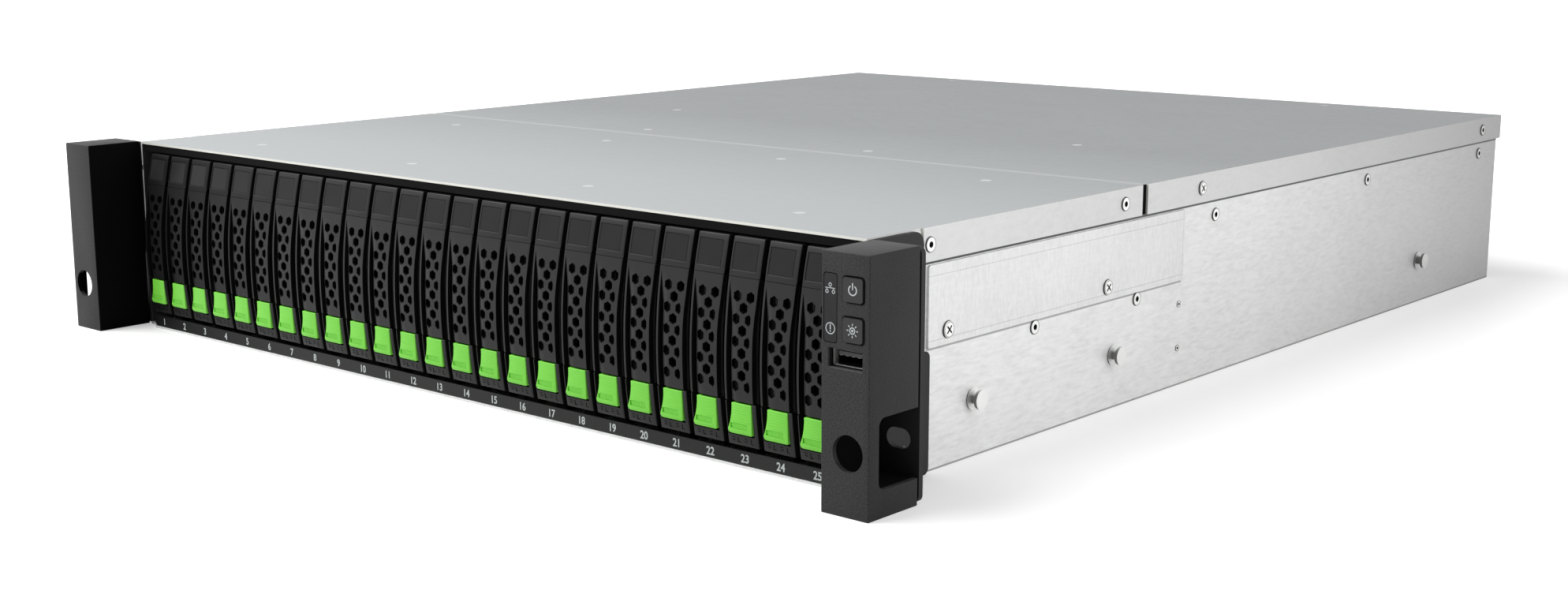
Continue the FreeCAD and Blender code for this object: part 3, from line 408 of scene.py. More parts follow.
cameraSettings = {
    "place": (625.15, -513.30, 194.46),  # from the middle of the cover's front edge
    "turn": 40.753,                      # degrees to the left of straight ahead
    "down": 10.983,
    "lens": 45.73,
    "sensor": 36.0,
    "clip": (0.01, 100.0),
}

lightSettings = {
    "skyLevel": 0.2,
    "floorSize": 30,
    "floorTone": 0.8,
    "floorGlow": (0.34, 0.9),   # painted light: the floor's glow by the shelf and out where the lamps no longer reach, which fades the cast shadow
    "glowReach": (1.2, 2.4),    # counted in half widths and half lengths of the shelf
    "halfSize": (0.24, 0.3),
    "lamps": {
        # place, aim, size and watts
        "keyLamp": ((-1.2, -1.3, 2.0), (-0.05, -0.1, 0.0), 2.4, 79.0),
        "sideLamp": ((2.1, 0.35, 0.85), (0.2, 0.0, 0.05), 1.6, 25.5),
    },
}


def makeCamera():
    data = bpy.data.cameras.new("camera")
    data.lens = cameraSettings["lens"]
    data.sensor_width = cameraSettings["sensor"]
    data.clip_start, data.clip_end = cameraSettings["clip"]
    camera = bpy.data.objects.new("camera", data)
    bpy.context.scene.collection.objects.link(camera)
    x, y, z = cameraSettings["place"]
    camera.location = (x * mm, frontEdge + y * mm, z * mm)
    camera.rotation_euler = (
        math.radians(90 - cameraSettings["down"]), 0, math.radians(cameraSettings["turn"])
    )
    bpy.context.scene.camera = camera
    bpy.context.scene.view_settings.view_transform = "Standard"


def seenDirectly(start):
    # 1 for camera, mirror and glass rays, which see the pale studio at its own colour
    rays = ("Is Camera Ray", "Is Glossy Ray", "Is Transmission Ray")
    return strongest(*[start.node("LightPath", output=ray) for ray in rays])


def makeWorld():
    world = bpy.data.worlds.new("studio")
    bpy.context.scene.world = world
    start = clearTree(world)
    soft, pale = (
        start.node("Background", inputs={"Color": (1, 1, 1, 1), "Strength": strength})
        for strength in (lightSettings["skyLevel"], 1.0)
    )
    both = start.node("MixShader", inputs={0: seenDirectly(start), 1: soft, 2: pale})
    start.node("OutputWorld", inputs={"Surface": both})


def makeFloor():
    selectNone()
    bpy.ops.mesh.primitive_plane_add(size=lightSettings["floorSize"], location=(0, 0, 0))
    floor = settle("floor")
    material, place = startMaterial("paleFloor")
    matt = place.node("BsdfDiffuse", inputs={"Color": (*grey(lightSettings["floorTone"]), 1)})
    near, far = lightSettings["glowReach"]
    halfX, halfY = lightSettings["halfSize"]
    inShelves = place.node("Mapping", inputs={"Vector": place, "Scale": (1 / halfX, 1 / halfY, 1)})
    away = place.node("VectorMath", {"operation": "LENGTH"}, {0: inShelves}, output="Value")
    # painted light: the glow rises away from the shelf and fades its cast shadow there
    outer = place.node("MapRange", inputs={
        "Value": away, "From Min": near, "From Max": far,
        "To Min": lightSettings["floorGlow"][0], "To Max": lightSettings["floorGlow"][1],
    })
    glow = place.node("Emission", inputs={
        "Color": place.node("CombineColor", inputs={0: outer, 1: outer, 2: outer}),
        "Strength": seenDirectly(place),
    })
    both = place.node("AddShader", inputs={0: matt, 1: glow})
    place.node("OutputMaterial", inputs={"Surface": both})
    floor.data.materials.append(material)


def makeLamps():
    for name, (place, aim, size, watts) in lightSettings["lamps"].items():
        data = bpy.data.lights.new(name, "AREA")
        data.shape = "DISK"
        data.size = size
        data.energy = watts
        lamp = bpy.data.objects.new(name, data)
        bpy.context.scene.collection.objects.link(lamp)
        lamp.location = place
        lamp.rotation_euler = (Vector(aim) - Vector(place)).to_track_quat("-Z", "Y").to_euler()


makeCamera()
makeWorld()
makeFloor()
makeLamps()
print("camera, floor and lamps placed")


# finishes; places here are in metres, as the shaders read them

steel = {
    "colour": (0.8, 0.805, 0.8),
    "metal": 0.3,
    "rough": 0.5,
    "wallStart": 0.2185,        # further out than this lies the walls' outer side
    "floorTop": 0.0013,
    "scribe": 0.0002,           # width of the lines scribed in the plates
    "markSoft": 0.00015,
    "fadeHalf": 0.28,           # half the length over which painted shade darkens the sheets to the rear
    "wallFade": [(0.0, 1.0), (0.5, 0.82), (1.0, 0.4)],
}

sidePlate = {
    "face": 0.2198, "low": 0.045, "high": 0.0744, "front": -0.2377, "back": -0.0613,
    "scribeInset": (0.0040, 0.0023, 0.0012),    # from its high, low and back edges
}

cover = {
    # colour: the top's, painted darker than the flanges' steel as shade
    "colour": (0.41, 0.43, 0.437),
    "edgeColour": (0.72, 0.72, 0.67),
    "split": frontEdge + 0.1774,
    "splitHalf": 0.0016,
    "flangeFoot": 0.0768,
    "flangeFade": [(0.0, 0.82), (0.5, 0.68), (1.0, 0.36)],
    "topFade": [(0.0, 1.0), (0.12, 0.94), (0.3, 0.76), (0.5, 0.56), (1.0, 0.52)],
}


def fade(coordinates, stops):
    # painted shade: brightness falling from the front to the rear of the shelf
    half = steel["fadeHalf"]
    place = coordinates.node("MapRange", inputs={
        "Value": along(coordinates, "Y"), "From Min": -half, "From Max": half, "To Min": 0.0, "To Max": 1.0,
    })
    return place.node("ValToRGB", {"stops": [(spot, grey(value)) for spot, value in stops]}, {0: place})


def steelTone(shade, dark, light):
    colour = steel["colour"]
    stops = [(0.15, toned(colour, dark)), (0.5, colour), (0.85, toned(colour, light))]
    return shade.node("ValToRGB", {"stops": stops}, {0: shade})


def wallMarks(coordinates, outward, onPlate):
    # the plates' scribed lines; painted shade below the plates, under the cover's flange, on the walls'
    # inner faces and low at the front; and a darker band along the walls' lowest 0.6 mm
    y, z = along(coordinates, "Y"), along(coordinates, "Z")
    high, low, back = pick(sidePlate, "high low back")
    fromHigh, fromLow, fromBack = sidePlate["scribeInset"]
    soft, scribe, floorTop = pick(steel, "markSoft scribe floorTop")
    outside = outward.over(steel["wallStart"])
    scribes = [(z, high - fromHigh), (z, low + fromLow), (y, back - fromBack)]
    lines = strongest(*[band(value, start, start + scribe, soft) for value, start in scribes])
    alongPlate = band(y, sidePlate["front"], back, 0.0002)
    # painted shadow: a dark line under the plate's lower edge, and a darker one under the cover's flange
    below = band(z, low - 0.0009, low, 0.0004) * alongPlate * (1.0 - onPlate) * outside
    flangeShadow = band(z, high + 0.0004, cover["flangeFoot"], 0.0002) * outside
    # darker along the walls' lowest 0.6 mm
    seam = band(z, 0.0, 0.0006, 0.0002) * outside
    # painted shade on the walls' inner faces, and low down at the front
    inside = outward.under(steel["wallStart"] - 0.0001) * y.under(-0.1) * z.over(floorTop)
    corner = z.under(0.04) * y.under(frontEdge + 0.001) * z.over(floorTop)
    return strongest(lines * onPlate * 0.22, below * 0.55, flangeShadow * 0.96, seam * 0.6, inside, corner)


def wallSteel():
    material, coordinates = startMaterial("galvanisedWall")
    outward = abs(along(coordinates, "X"))
    onPlate = outward.over(sidePlate["face"])
    mottle = noise(coordinates, (500.0, 190.0, 620.0), 5.0, 0.65)
    slanted = coordinates.node("Mapping", inputs={
        "Vector": coordinates, "Rotation": (math.radians(12), 0, 0), "Scale": (300.0, 130.0, 700.0),
    })
    streaks = noise(slanted, 1.0)
    upright = noise(coordinates, (800.0, 800.0, 200.0), 5.0, 0.65)
    cloud = noise(coordinates, 26.0)
    wall = swing(mottle, 0.6) + swing(streaks, 0.6)
    sheet = swing(upright, 0.55) + swing(mottle, 0.35, -0.1)
    shade = wall + (sheet - wall) * onPlate + swing(cloud, 0.35, 0.5)
    base = tinted(steelTone(shade, 0.8, 1.14), fade(coordinates, steel["wallFade"]))
    # scribed lines and painted shade, all in one dark colour
    base = blendColour(wallMarks(coordinates, outward, onPlate), base, (0.035, 0.035, 0.038))
    rough = swing(shade, 0.3, steel["rough"])
    return finishMaterial(material, coordinates, base, rough, bump(shade, 0.35, 0.00025), steel["metal"])


def coverSteel():
    material, coordinates = startMaterial("galvanisedCover")
    fine = noise(coordinates, (900.0, 700.0, 900.0), 4.0, 0.65)
    mottle = noise(coordinates, (300.0, 130.0, 420.0), 5.0, 0.65)
    cloud = noise(coordinates, 20.0)
    shade = swing(fine, 0.35) + swing(mottle, 0.5) + swing(cloud, 0.35, 0.5)
    flange = tinted(steelTone(shade, 0.82, 1.12), fade(coordinates, cover["flangeFade"]))
    grain = swing(fine, 1.2) + swing(cloud, 0.3, 0.5)
    top = blendColour(grain, toned(cover["colour"], 0.94), toned(cover["colour"], 1.06))
    split, half = pick(cover, "split splitHalf")
    # painted highlight: a lighter band along the split between the covers, on the tops and on the lap strip
    splitHighlight = band(along(coordinates, "Y"), split - half, split + half, 0.0008)
    top = blendColour(splitHighlight * 0.3, top, (0.8, 0.8, 0.78))
    top = tinted(top, fade(coordinates, cover["topFade"]))
    # painted shade: faces that look up take the darker top colour
    base = blendColour(facing(coordinates, "Z").over(0.8), flange, top)
    # painted highlight: faces that look forward take a pale edge colour
    base = blendColour(facing(coordinates, "Y").under(-0.5), base, cover["edgeColour"])
    rough = swing(shade, 0.3, steel["rough"])
    return finishMaterial(material, coordinates, base, rough, bump(shade, 0.2, 0.0002), steel["metal"])


def earShade(coordinates):
    # painted shade: the side of the left ear that looks at the carriers is made a dull near-black
    return facing(coordinates, "X").over(0.7) * along(coordinates, "X").under(-0.2)


def earTone(coordinates):
    # painted shade: the outer side is made a little darker than the front
    return 1.22 - abs(facing(coordinates, "X")) * 0.72


coatReach = {
    "ear": (0.2225, 0.2398, 0.0245),    # inner side, outer side and depth of the ears' hollow
    "cover": (0.2205, 0.0785, 0.02),    # half width, height and depth under the front cover
    "wall": (0.22115, 0.03),            # outermost and foremost place of the painted shade on the walls' black pieces
}


def coatShade(coordinates):
    # painted shade, a dull near-black: inside the ears, under the cover's front edge, and on all black coat
    # further back than 30 mm and inside the walls' outer face, such as the fasteners' marks, the cover's gap
    # and the rear sockets' linings
    reach, y, z = abs(along(coordinates, "X")), along(coordinates, "Y"), along(coordinates, "Z")
    inner, outer, depth = coatReach["ear"]
    inEar = reach.over(inner) * reach.under(outer) * y.under(frontEdge + 0.0002) * y.over(frontEdge - depth)
    half, height, depth = coatReach["cover"]
    underCover = reach.under(half) * z.over(height) * y.under(frontEdge + depth) * 0.8
    outermost, foremost = coatReach["wall"]
    onWall = y.over(frontEdge + foremost) * reach.under(outermost)
    return strongest(inEar, underCover, onWall)


def bayShade(coordinates):
    # painted shade, a dull near-black: on the left bays, and on the carriers' sides and vents behind their
    # faces
    left = (1.0 - rise(along(coordinates, "X"), -0.235, -0.07)) * 0.8
    aside = 1.0 - rise(abs(facing(coordinates, "Y")), 0.2, 0.45)
    return strongest(left, aside * along(coordinates, "Y").under(frontEdge + 0.003) * 0.75)


def moulding(
    name, colour, rough, shine=0.35, speckle=900.0, spread=0.12, strength=0.4, paintedShading=None, shade=None
):
    # moulded plastic: fine grain in the tool's surface and a little tone between grains, with painted
    # shading and painted deep shade laid over it where asked
    material, coordinates = startMaterial(name)
    grain = noise(coordinates, speckle, 2.0, 0.6)
    drift = noise(coordinates, 30.0, 2.0)
    mixed = swing(grain, spread * 2) + swing(drift, 0.2, 0.5)
    base = blendColour(mixed, toned(colour, 0.72), toned(colour, 1.28))
    if paintedShading:
        base = tinted(base, paintedShading(coordinates))
    return finishMaterial(
        material, coordinates, base, swing(drift, 0.14, rough), bump(grain, strength, 0.00004),
        shine=shine, shade=shade(coordinates) if shade else None,
    )


def circuitBoard():
    material, coordinates = startMaterial("solderMask")
    tracks = coordinates.node("TexBrick", inputs={
        "Vector": coordinates, "Scale": 220.0, "Color1": (0.008, 0.07, 0.03, 1),
        "Color2": (0.012, 0.09, 0.036, 1), "Mortar": (0.03, 0.16, 0.06, 1),
    }, output="Color")
    weave = noise(coordinates, 1200.0)
    return finishMaterial(
        material, coordinates, tracks, swing(weave, 0.2, 0.35), bump(weave, 0.2, 0.00005)
    )


def turnedSteel():
    material, coordinates = startMaterial("zincPlate")
    grain = noise(coordinates, 900.0, 2.0)
    shadedPlating = blendColour(noise(coordinates, 60.0), (0.78, 0.79, 0.78), (0.9, 0.9, 0.88))
    # painted shade: faces that look up are darker
    shadedPlating = blendColour(facing(coordinates, "Z").over(0.7) * 0.7, shadedPlating, (0.5, 0.52, 0.52))
    # painted shade: darker towards the rear
    shadedPlating = tinted(shadedPlating, fade(coordinates, [(0.0, 1.0), (0.5, 0.8), (1.0, 0.42)]))
    # painted reflection: faces that look forward are painted dark, as if they mirrored a dark card
    darkReflection = rise(facing(coordinates, "Y") * -1.0, 0.2, 0.9)
    base = blendColour(darkReflection, shadedPlating, grey(0.16))
    return finishMaterial(
        material, coordinates, base, swing(grain, 0.1, 0.3), bump(grain, 0.04, 0.00002), 0.7
    )


def smokedWindow():
    material, coordinates = startMaterial("smokedWindow")
    cloud = noise(coordinates, 80.0)
    base = blendColour(cloud, (0.018, 0.018, 0.019), (0.026, 0.026, 0.027))
    return finishMaterial(
        material, coordinates, base, swing(cloud, 0.1, 0.22), bump(cloud, 0.05, 0.0002), shine=0.14
    )


def driveCase():
    material, coordinates = startMaterial("driveCase")
    grain = noise(coordinates, (900.0, 120.0, 900.0))
    base = blendColour(grain, (0.3, 0.31, 0.32), (0.46, 0.47, 0.48))
    return finishMaterial(
        material, coordinates, base, swing(grain, 0.25, 0.4), bump(grain, 0.2, 0.00005), 0.85
    )


slotFinish = {
    # a moulding takes its colour, roughness and shine, then its grain
    "bright_steel": wallSteel(),
    "cover_steel": coverSteel(),
    "black_steel": moulding("blackCoat", grey(0.014), 0.5, 0.2, 1400.0, 0.2, shade=coatShade),
    "black_plastic": moulding("carrierPlastic", grey(0.015), 0.4, 0.22, shade=bayShade),
    "ear_plastic": moulding("earPlastic", grey(0.026), 0.55, 0.18, 1500.0, 1.9, 0.8, earTone, earShade),
    "button_plastic": moulding("keyPlastic", grey(0.02), 0.4, 0.3, 1600.0, 0.2),
    "indicator_plastic": smokedWindow(),
    "green_plastic": moulding("tabGreen", (0.2, 0.7, 0.06), 0.4, 0.4, spread=0.05),
    "lever_plastic": moulding("leverPlastic", grey(0.02), 0.45),
    "circuit_board": circuitBoard(),
    "connector_plastic": moulding("connectorPlastic", grey(0.06), 0.5),
    "turned_steel": turnedSteel(),
    "printed_grey": moulding("printedGrey", (0.56, 0.6, 0.6), 0.6, 0.3, 1500.0, 0.1),
    "drive_metal": driveCase(),
}

for part in frame["record"]["subparts"]:
    for holder in nodes[part["node"]].material_slots:
        holder.material = slotFinish[part["material_slot"]]
print("finishes made:", len(slotFinish))


def dress(piece, body, slotName, replaced=()):
    piece.data.materials.clear()
    piece.data.materials.append(slotFinish[slotName])
    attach(piece, body)
    if replaced:
        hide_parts(*replaced)


# drive carriers: curved front, lever with vents, release tab, light window, drive

carrier = {
    "half": 7.25,           # half the width
    "bottom": 8.5,
    "top": 83.1,
    "apexY": -7.0,          # the front's foremost line
    "apexZ": 38.0,
    "radius": 174.0,        # of the front's curve
    "bowBack": 5.0,         # the curve has run out at this depth
    "bowSolid": 2.0,        # and this much of the front keeps its thickness
    "postFront": 5.2,
    "back": 8.0,            # where the front frame ends and the rails start
    "leverBottom": 25.0,
    "leverTop": 69.2,
    "pivotZ": 66.5,
    "pivotReach": 5.05,     # room for the lever's round end
    "lugRadius": 2.0,
    "bridgeTop": 70.5,
    "seam": 0.06,           # between the head and the lever
    "shell": 1.8,
    "post": 1.2,
    "railBack": 138.4,
    "guideHalf": 0.6,       # of the grooves in the rails' sides
    "guideInset": 6.0,
    "driveFront": 38.0,
    "driveHalf": 7.1,
    "driveBottom": 10.9,
    "driveTop": 80.7,
    "driveGap": 0.05,
    "footGap": 0.3,         # between the foot and the lever
    "round": 0.35,
    "cutterHalf": 9.0,      # half width of a cutter that passes right through
}

window = {
    "left": -6.1, "right": 4.8, "bottom": 71.7, "top": 80.8,
    "gap": 0.06, "depth": 0.34, "pane": 0.16, "bevel": 0.3,
}

footMark = {"depth": 0.22, "stroke": 0.42, "low": 9.7, "high": 11.6, "inset": 0.5}


def bowFront(piece, backY, frontY):
    # bends a flat front on to the curve; what lies behind backY stays where it is
    radius, apexZ = pick(carrier, "radius apexZ")
    for vertex in piece.data.vertices:
        height = vertex.co.z / mm - apexZ
        drop = radius - math.sqrt(radius ** 2 - height ** 2)
        vertex.co.y += drop * clamped((backY - vertex.co.y / mm) / (backY - frontY)) * mm


def bowShell(piece):
    bowFront(piece, carrier["bowBack"], carrier["apexY"] + carrier["bowSolid"])


def makeHead():
    # the top of the front, with the recess of its light window
    half, apexY, back, leverTop = pick(carrier, "half apexY back leverTop")
    gap, wide = window["gap"], carrier["cutterHalf"]
    head = block("head", (-half, apexY, leverTop - 2), (half, back, carrier["top"]))
    bevelEdges(head, carrier["round"])
    seamTop = leverTop + carrier["seam"]
    cutAway(head, [block("flush", (-wide, apexY - 1, leverTop - wide), (wide, back + 1, seamTop))])
    sliceAlong(head, "Z", leverTop, carrier["top"], 6)
    cutAway(head, [flared(
        "recess", (window["left"] - gap, apexY - 0.05, window["bottom"] - gap),
        (window["right"] + gap, apexY + window["depth"], window["top"] + gap), 0.05, window["bevel"],
    )])
    bowShell(head)
    cutAway(head, [rod("sweep", (0, 0, carrier["pivotZ"]), carrier["pivotReach"], 4 * half, "X", 48)])
    return head


def makeFoot():
    # the bottom of the front, with the release tab's pocket and its small moulded marks
    half, apexY, low, high = pick(carrier, "half apexY bottom leverBottom")
    foot = block("foot", (-half, apexY, low), (half, carrier["back"], high - carrier["footGap"]))
    bevelEdges(foot, carrier["round"])
    sliceAlong(foot, "Z", low, high, 6)
    pocket = block(
        "pocket", (tab["bottomLeft"] - tab["gap"], apexY - 1, tab["bottom"] - tab["footGap"]),
        (tab["right"] + tab["gap"], tab["pocketBack"], high + 5),
    )
    cutAway(foot, [pocket] + footMarks())
    bowShell(foot)
    return foot


def footMarks():
    # plain moulded marks: two corners and two short bars
    low, high, stroke, inset = pick(footMark, "low high stroke inset")
    boxes = []
    for x in (-2.6, 3.6):
        boxes.append((x, low, stroke, high - low))
        boxes.append((x + stroke, low, 1.4 - stroke, stroke))
    for x in (-5.0, 0.8):
        boxes.append((x, low + inset, 1.2, stroke))
        boxes.append((x, high - stroke, 1.2, stroke))
    front, back = carrier["apexY"] - 1, carrier["apexY"] + footMark["depth"]
    return [
        block("mark", (x, front, z), (x + width, back, z + height)) for x, z, width, height in boxes
    ]


def makeRail(low, high):
    # an upper or lower rail of the drive, with a guide groove in either side
    half, back, railBack = pick(carrier, "half back railBack")
    guide, inset = pick(carrier, "guideHalf guideInset")
    rail = block("rail", (-half, back - 1, low), (half, railBack, high))
    cutAway(rail, [
        block("groove", *around(side * half, (low + high) / 2, guide, guide, back + inset, railBack - inset))
        for side in (-1, 1)
    ])
    return rail


def makeCarrierFrame():
    half, back, pivotZ, top = pick(carrier, "half back pivotZ bridgeTop")
    lug, gap = pick(carrier, "lugRadius driveGap")
    front = [makeHead(), makeFoot()]
    pieces = []
    for side in (-1, 1):
        near, far = sorted((side * half, side * (half - carrier["post"])))
        pieces.append(block(
            "post", (near, carrier["postFront"], carrier["leverBottom"] - 1), (far, back, top)
        ))
    lugHalf = half - carrier["post"] - 0.3
    pieces.append(rod("lug", (0, 0, pivotZ), lug, 2 * lugHalf, "X"))
    pieces.append(block("arm", (-lugHalf, 0, pivotZ - lug), (lugHalf, back, pivotZ + lug)))
    pieces.append(block("bridge", (-half, back - 1, pivotZ - lug), (half, back, top)))
    pieces.append(makeRail(carrier["bottom"], carrier["driveBottom"] - gap))
    pieces.append(makeRail(carrier["driveTop"] + gap, carrier["top"]))
    for piece in pieces:
        bevelEdges(piece, 0.2, 2)
    master = joinPieces("carrierFrame", front + pieces)
    smoothEdges(master)
    return master


def makeWindow():
    front = carrier["apexY"] + window["depth"] - window["pane"]
    pane = block(
        "statusWindow", (window["left"], front, window["bottom"]),
        (window["right"], front + window["pane"] + 0.1, window["top"]),
    )
    sliceAlong(pane, "Z", window["bottom"], window["top"], 6)
    bowShell(pane)
    smoothEdges(pane)
    return pane


lever = {
    "back": 1.5,
    "leftWall": 1.2,
    "rightWall": 2.7,
    "channelLeft": -6.15,
    "channelRight": -4.5,
    "channelTop": 67.4,
    "channelKnee": 46.0,
    "channelFloor": (-6.25, -2.4, -3.2, -2.6, 1.0),     # left, right, front, back and how much it
    "channelWall": (-2.9, -2.3, -5.4, -2.7, 4.0),       # stays below the lever's top
    "channelFoot": 0.3,
    "bandDepth": 2.0,       # the sunk band along the right edge, and its inner edge in X and Z
    "bandEdge": ((7.1, 68.8), (6.8, 60.5), (6.35, 55.0), (6.05, 49.0), (6.0, 24.0)),
    "dish": 0.9,            # how far the face falls towards the channel
    "dishWidth": 3.6,
    "dishTaper": 12.0,
    "ventFlats": 3.65,
    "ventColumns": (-2.2, 1.1, 3.95),
    "ventRows": 5,
    "ventPitch": 8.0,
    "ventLow": 30.7,
    "ventEdge": 4.7,
}


def channelEdge(z):
    # X of the channel's right edge at a height: a long curve up to the pointed tip
    climb = clamped((z - lever["channelKnee"]) / (lever["channelTop"] - lever["channelKnee"]))
    return lever["channelRight"] + (lever["channelLeft"] - lever["channelRight"]) * climb ** 2


def makeVents():
    apexY, low, pitch, rows = carrier["apexY"], lever["ventLow"], lever["ventPitch"], lever["ventRows"]
    reach = lever["ventFlats"] / math.sqrt(3)
    vents = []
    for column, x in enumerate(lever["ventColumns"]):
        # the middle column stands half a pitch up and has one vent less
        shift, count = (0.5, rows - 1) if column == 1 else (0.0, rows)
        for row in range(count):
            z = low + (row + shift) * pitch
            turns = [math.radians(60 * k) for k in range(6)]
            outline = [(x + reach * math.sin(turn), z + reach * math.cos(turn)) for turn in turns]
            if row + shift < rows - 1:
                outline = [(min(cornerX, lever["ventEdge"]), cornerZ) for cornerX, cornerZ in outline]
            vents.append(prism("vent", outline, apexY - 1, apexY + carrier["shell"] + 1))
    return vents


def makeLever():
    half, apexY, shell = pick(carrier, "half apexY shell")
    low, high = pick(carrier, "leverBottom leverTop")
    body = block("carrierLever", (-half, apexY, low), (half, lever["back"], high + 2))
    bevelEdges(body, carrier["round"])
    wide = carrier["cutterHalf"]
    cutAway(body, [block("flush", (-wide, apexY - 1, high), (wide, 3, high + 3))])
    cutAway(body, [block(
        "hollow", (-half + lever["leftWall"], apexY + shell, low - 1),
        (half - lever["rightWall"], lever["back"] + 1, high + 1),
    )])
    sliceAlong(body, "Z", low, high, 22)
    sliceAlong(body, "X", -half, half, 12)
    climb = (lever["channelTop"] - lever["channelKnee"]) / 8
    heights = [low - 1] + [lever["channelKnee"] + climb * k for k in range(9)]
    outline = [(lever["channelLeft"], low - 1)] + [(channelEdge(z), z) for z in heights]
    channel = prism("channel", outline, apexY - 1, apexY + shell + 0.6)
    outline = [(half + 1, low - 1), (half + 1, 70.0), *lever["bandEdge"]]
    strip = prism("band", outline, apexY - 1, apexY + lever["bandDepth"])
    cutAway(body, [channel, strip] + makeVents())
    for vertex in body.data.vertices:
        x, y, z = (value / mm for value in vertex.co)
        edge = channelEdge(z)
        depth = clamped(1 - (x - edge) / lever["dishWidth"]) if x > edge - 0.05 else 0.0
        taper = clamped((lever["channelTop"] - z) / lever["dishTaper"])
        if y < apexY + shell - 0.1:
            vertex.co.y += lever["dish"] * depth ** 2 * taper * mm
    linings = []
    for name in ("channelFloor", "channelWall"):
        left, right, front, back, below = lever[name]
        linings.append(block(name, (left, front, low + lever["channelFoot"]), (right, back, high - below)))
    pin = rod("pin", (0, 0, carrier["pivotZ"]), 1.0, 2 * half - 0.1, "X")
    bowed = joinPieces("carrierLever", [body] + linings)
    bowFront(bowed, lever["back"], apexY + shell)
    master = joinPieces("carrierLever", [bowed, pin])
    smoothEdges(master)
    return master


tab = {
    "bottom": 13.0,
    "top": 24.4,
    "topLeft": -4.2,
    "bottomLeft": -6.3,
    "right": 5.2,
    "frontY": -7.15,
    "backY": -3.0,
    "gap": 0.35,            # beside the tab in its pocket, and below it
    "footGap": 0.6,
    "pocketBack": -0.8,
    "wedge": 0.65,          # how far the lower end stands forward
    "wedgeLow": 14.5,       # height at which it stands furthest
    "corner": 1.4,
    "rightCorner": 0.9,
    "ribs": (17.2, 23.8),   # heights between which the ribs run
    "ribPitch": 0.95,
    "ribDepth": 0.045,
    "slot": (15.0, 16.9),
    "slotDepth": 0.45,
    "slotReach": (-0.7, 0.35),
    "lineDepth": 0.14,      # the lines above and below the fine grooves
    "lineReach": (0.5, 7.4),
    "grooves": 12,
    "groovePitch": 0.58,
    "grooveWidth": 0.16,
    "grooveStep": 0.6,      # each groove is cut in steps that follow the face
    "grooveDepth": 0.07,
}


def roundOff(past, radius):
    # how far a corner's arc lies inside its edge, past its start by this much
    return radius - math.sqrt(max(radius ** 2 - min(max(past, 0.0), radius) ** 2, 0.0))


def tabLeftEdge(z):
    # a hollow curve from the top out to the foot, ending in a round corner
    flare = clamped((tab["top"] - z) / (tab["top"] - tab["bottom"] - tab["corner"]))
    edge = tab["topLeft"] + (tab["bottomLeft"] - tab["topLeft"]) * flare ** 2.2
    return edge + roundOff(tab["bottom"] + tab["corner"] - z, tab["corner"])


def tabFace(z):
    # the tab's front, which stands further forward towards its foot
    swell = clamped((tab["top"] - z) / (tab["top"] - tab["wedgeLow"]))
    return tab["frontY"] - tab["wedge"] * swell ** 1.5


def tabMarks():
    # a short slot with a field of fine upright grooves to its right
    left, width, step = pick(tab, "topLeft grooveWidth grooveStep")
    slotLow, slotHigh = tab["slot"]
    near, far = tab["slotReach"]
    back = tabFace(16) + tab["slotDepth"]
    marks = [block("slot", (left + near, tab["frontY"] - 1, slotLow), (left + far, back, slotHigh))]
    near, far = tab["lineReach"]
    for z in (slotLow - 0.12, slotHigh - 0.06):
        back = tabFace(z + 0.1) + tab["lineDepth"]
        marks.append(block("groove", (left + near, -10, z), (left + far, back, z + 0.2)))
    for groove in range(tab["grooves"]):
        x = left + 0.6 + groove * tab["groovePitch"]
        for part in range(3):
            z = slotLow + part * step
            back = tabFace(z + step / 2) + tab["grooveDepth"]
            marks.append(block("groove", (x, -10, z), (x + width, back, z + step)))
    return marks


def makeTab():
    low, high, left, right = pick(tab, "bottom top topLeft right")
    piece = block("releaseTab", (left, tab["frontY"], low), (right, tab["backY"], high))
    bevelEdges(piece, 0.3, 3)
    sliceAlong(piece, "Z", low, high, 48)
    ribLow, ribHigh = tab["ribs"]
    for vertex in piece.data.vertices:
        x, y, z = (value / mm for value in vertex.co)
        lean = clamped((right - x) / (right - left))
        vertex.co.x += (tabLeftEdge(z) - left) * lean * mm
        vertex.co.x -= roundOff(low + tab["rightCorner"] - z, tab["rightCorner"]) * (1 - lean) * mm
        if y < tab["frontY"] + 1:
            ribs = math.cos(2 * math.pi * z / tab["ribPitch"]) if ribLow < z < ribHigh else 0.0
            vertex.co.y += (tabFace(z) - tab["frontY"] - ribs * tab["ribDepth"]) * mm
    cutAway(piece, tabMarks())
    bowFront(piece, carrier["bowBack"], carrier["apexY"] + 5.0)
    smoothEdges(piece, 40)
    return piece


def makeDrive():
    half, front, back = pick(carrier, "driveHalf driveFront railBack")
    low, high = pick(carrier, "driveBottom driveTop")
    case = block("driveUnit", (-half, front, low), (half, back, high))
    bevelEdges(case, 0.8, 3)
    for side in (-1, 1):
        editAll(case)
        bpy.ops.mesh.select_all(action="DESELECT")
        leaveEdit()
        for face in case.data.polygons:
            face.select = face.normal.x * side > 0.99
        bpy.ops.object.mode_set(mode="EDIT")
        bpy.ops.mesh.select_mode(type="FACE")
        bpy.ops.mesh.inset(thickness=3.0 * mm, depth=0)
        bpy.ops.mesh.inset(thickness=0.5 * mm, depth=-0.35 * mm)
        leaveEdit()
    screws = [
        rod("driveScrew", (side * (half - 0.15), y, low + 4.0), 1.6, 0.5, "X", 16)
        for side in (-1, 1) for y in (front + 14, back - 10)
    ]
    master = joinPieces("driveUnit", [case] + screws)
    smoothEdges(master)
    return master


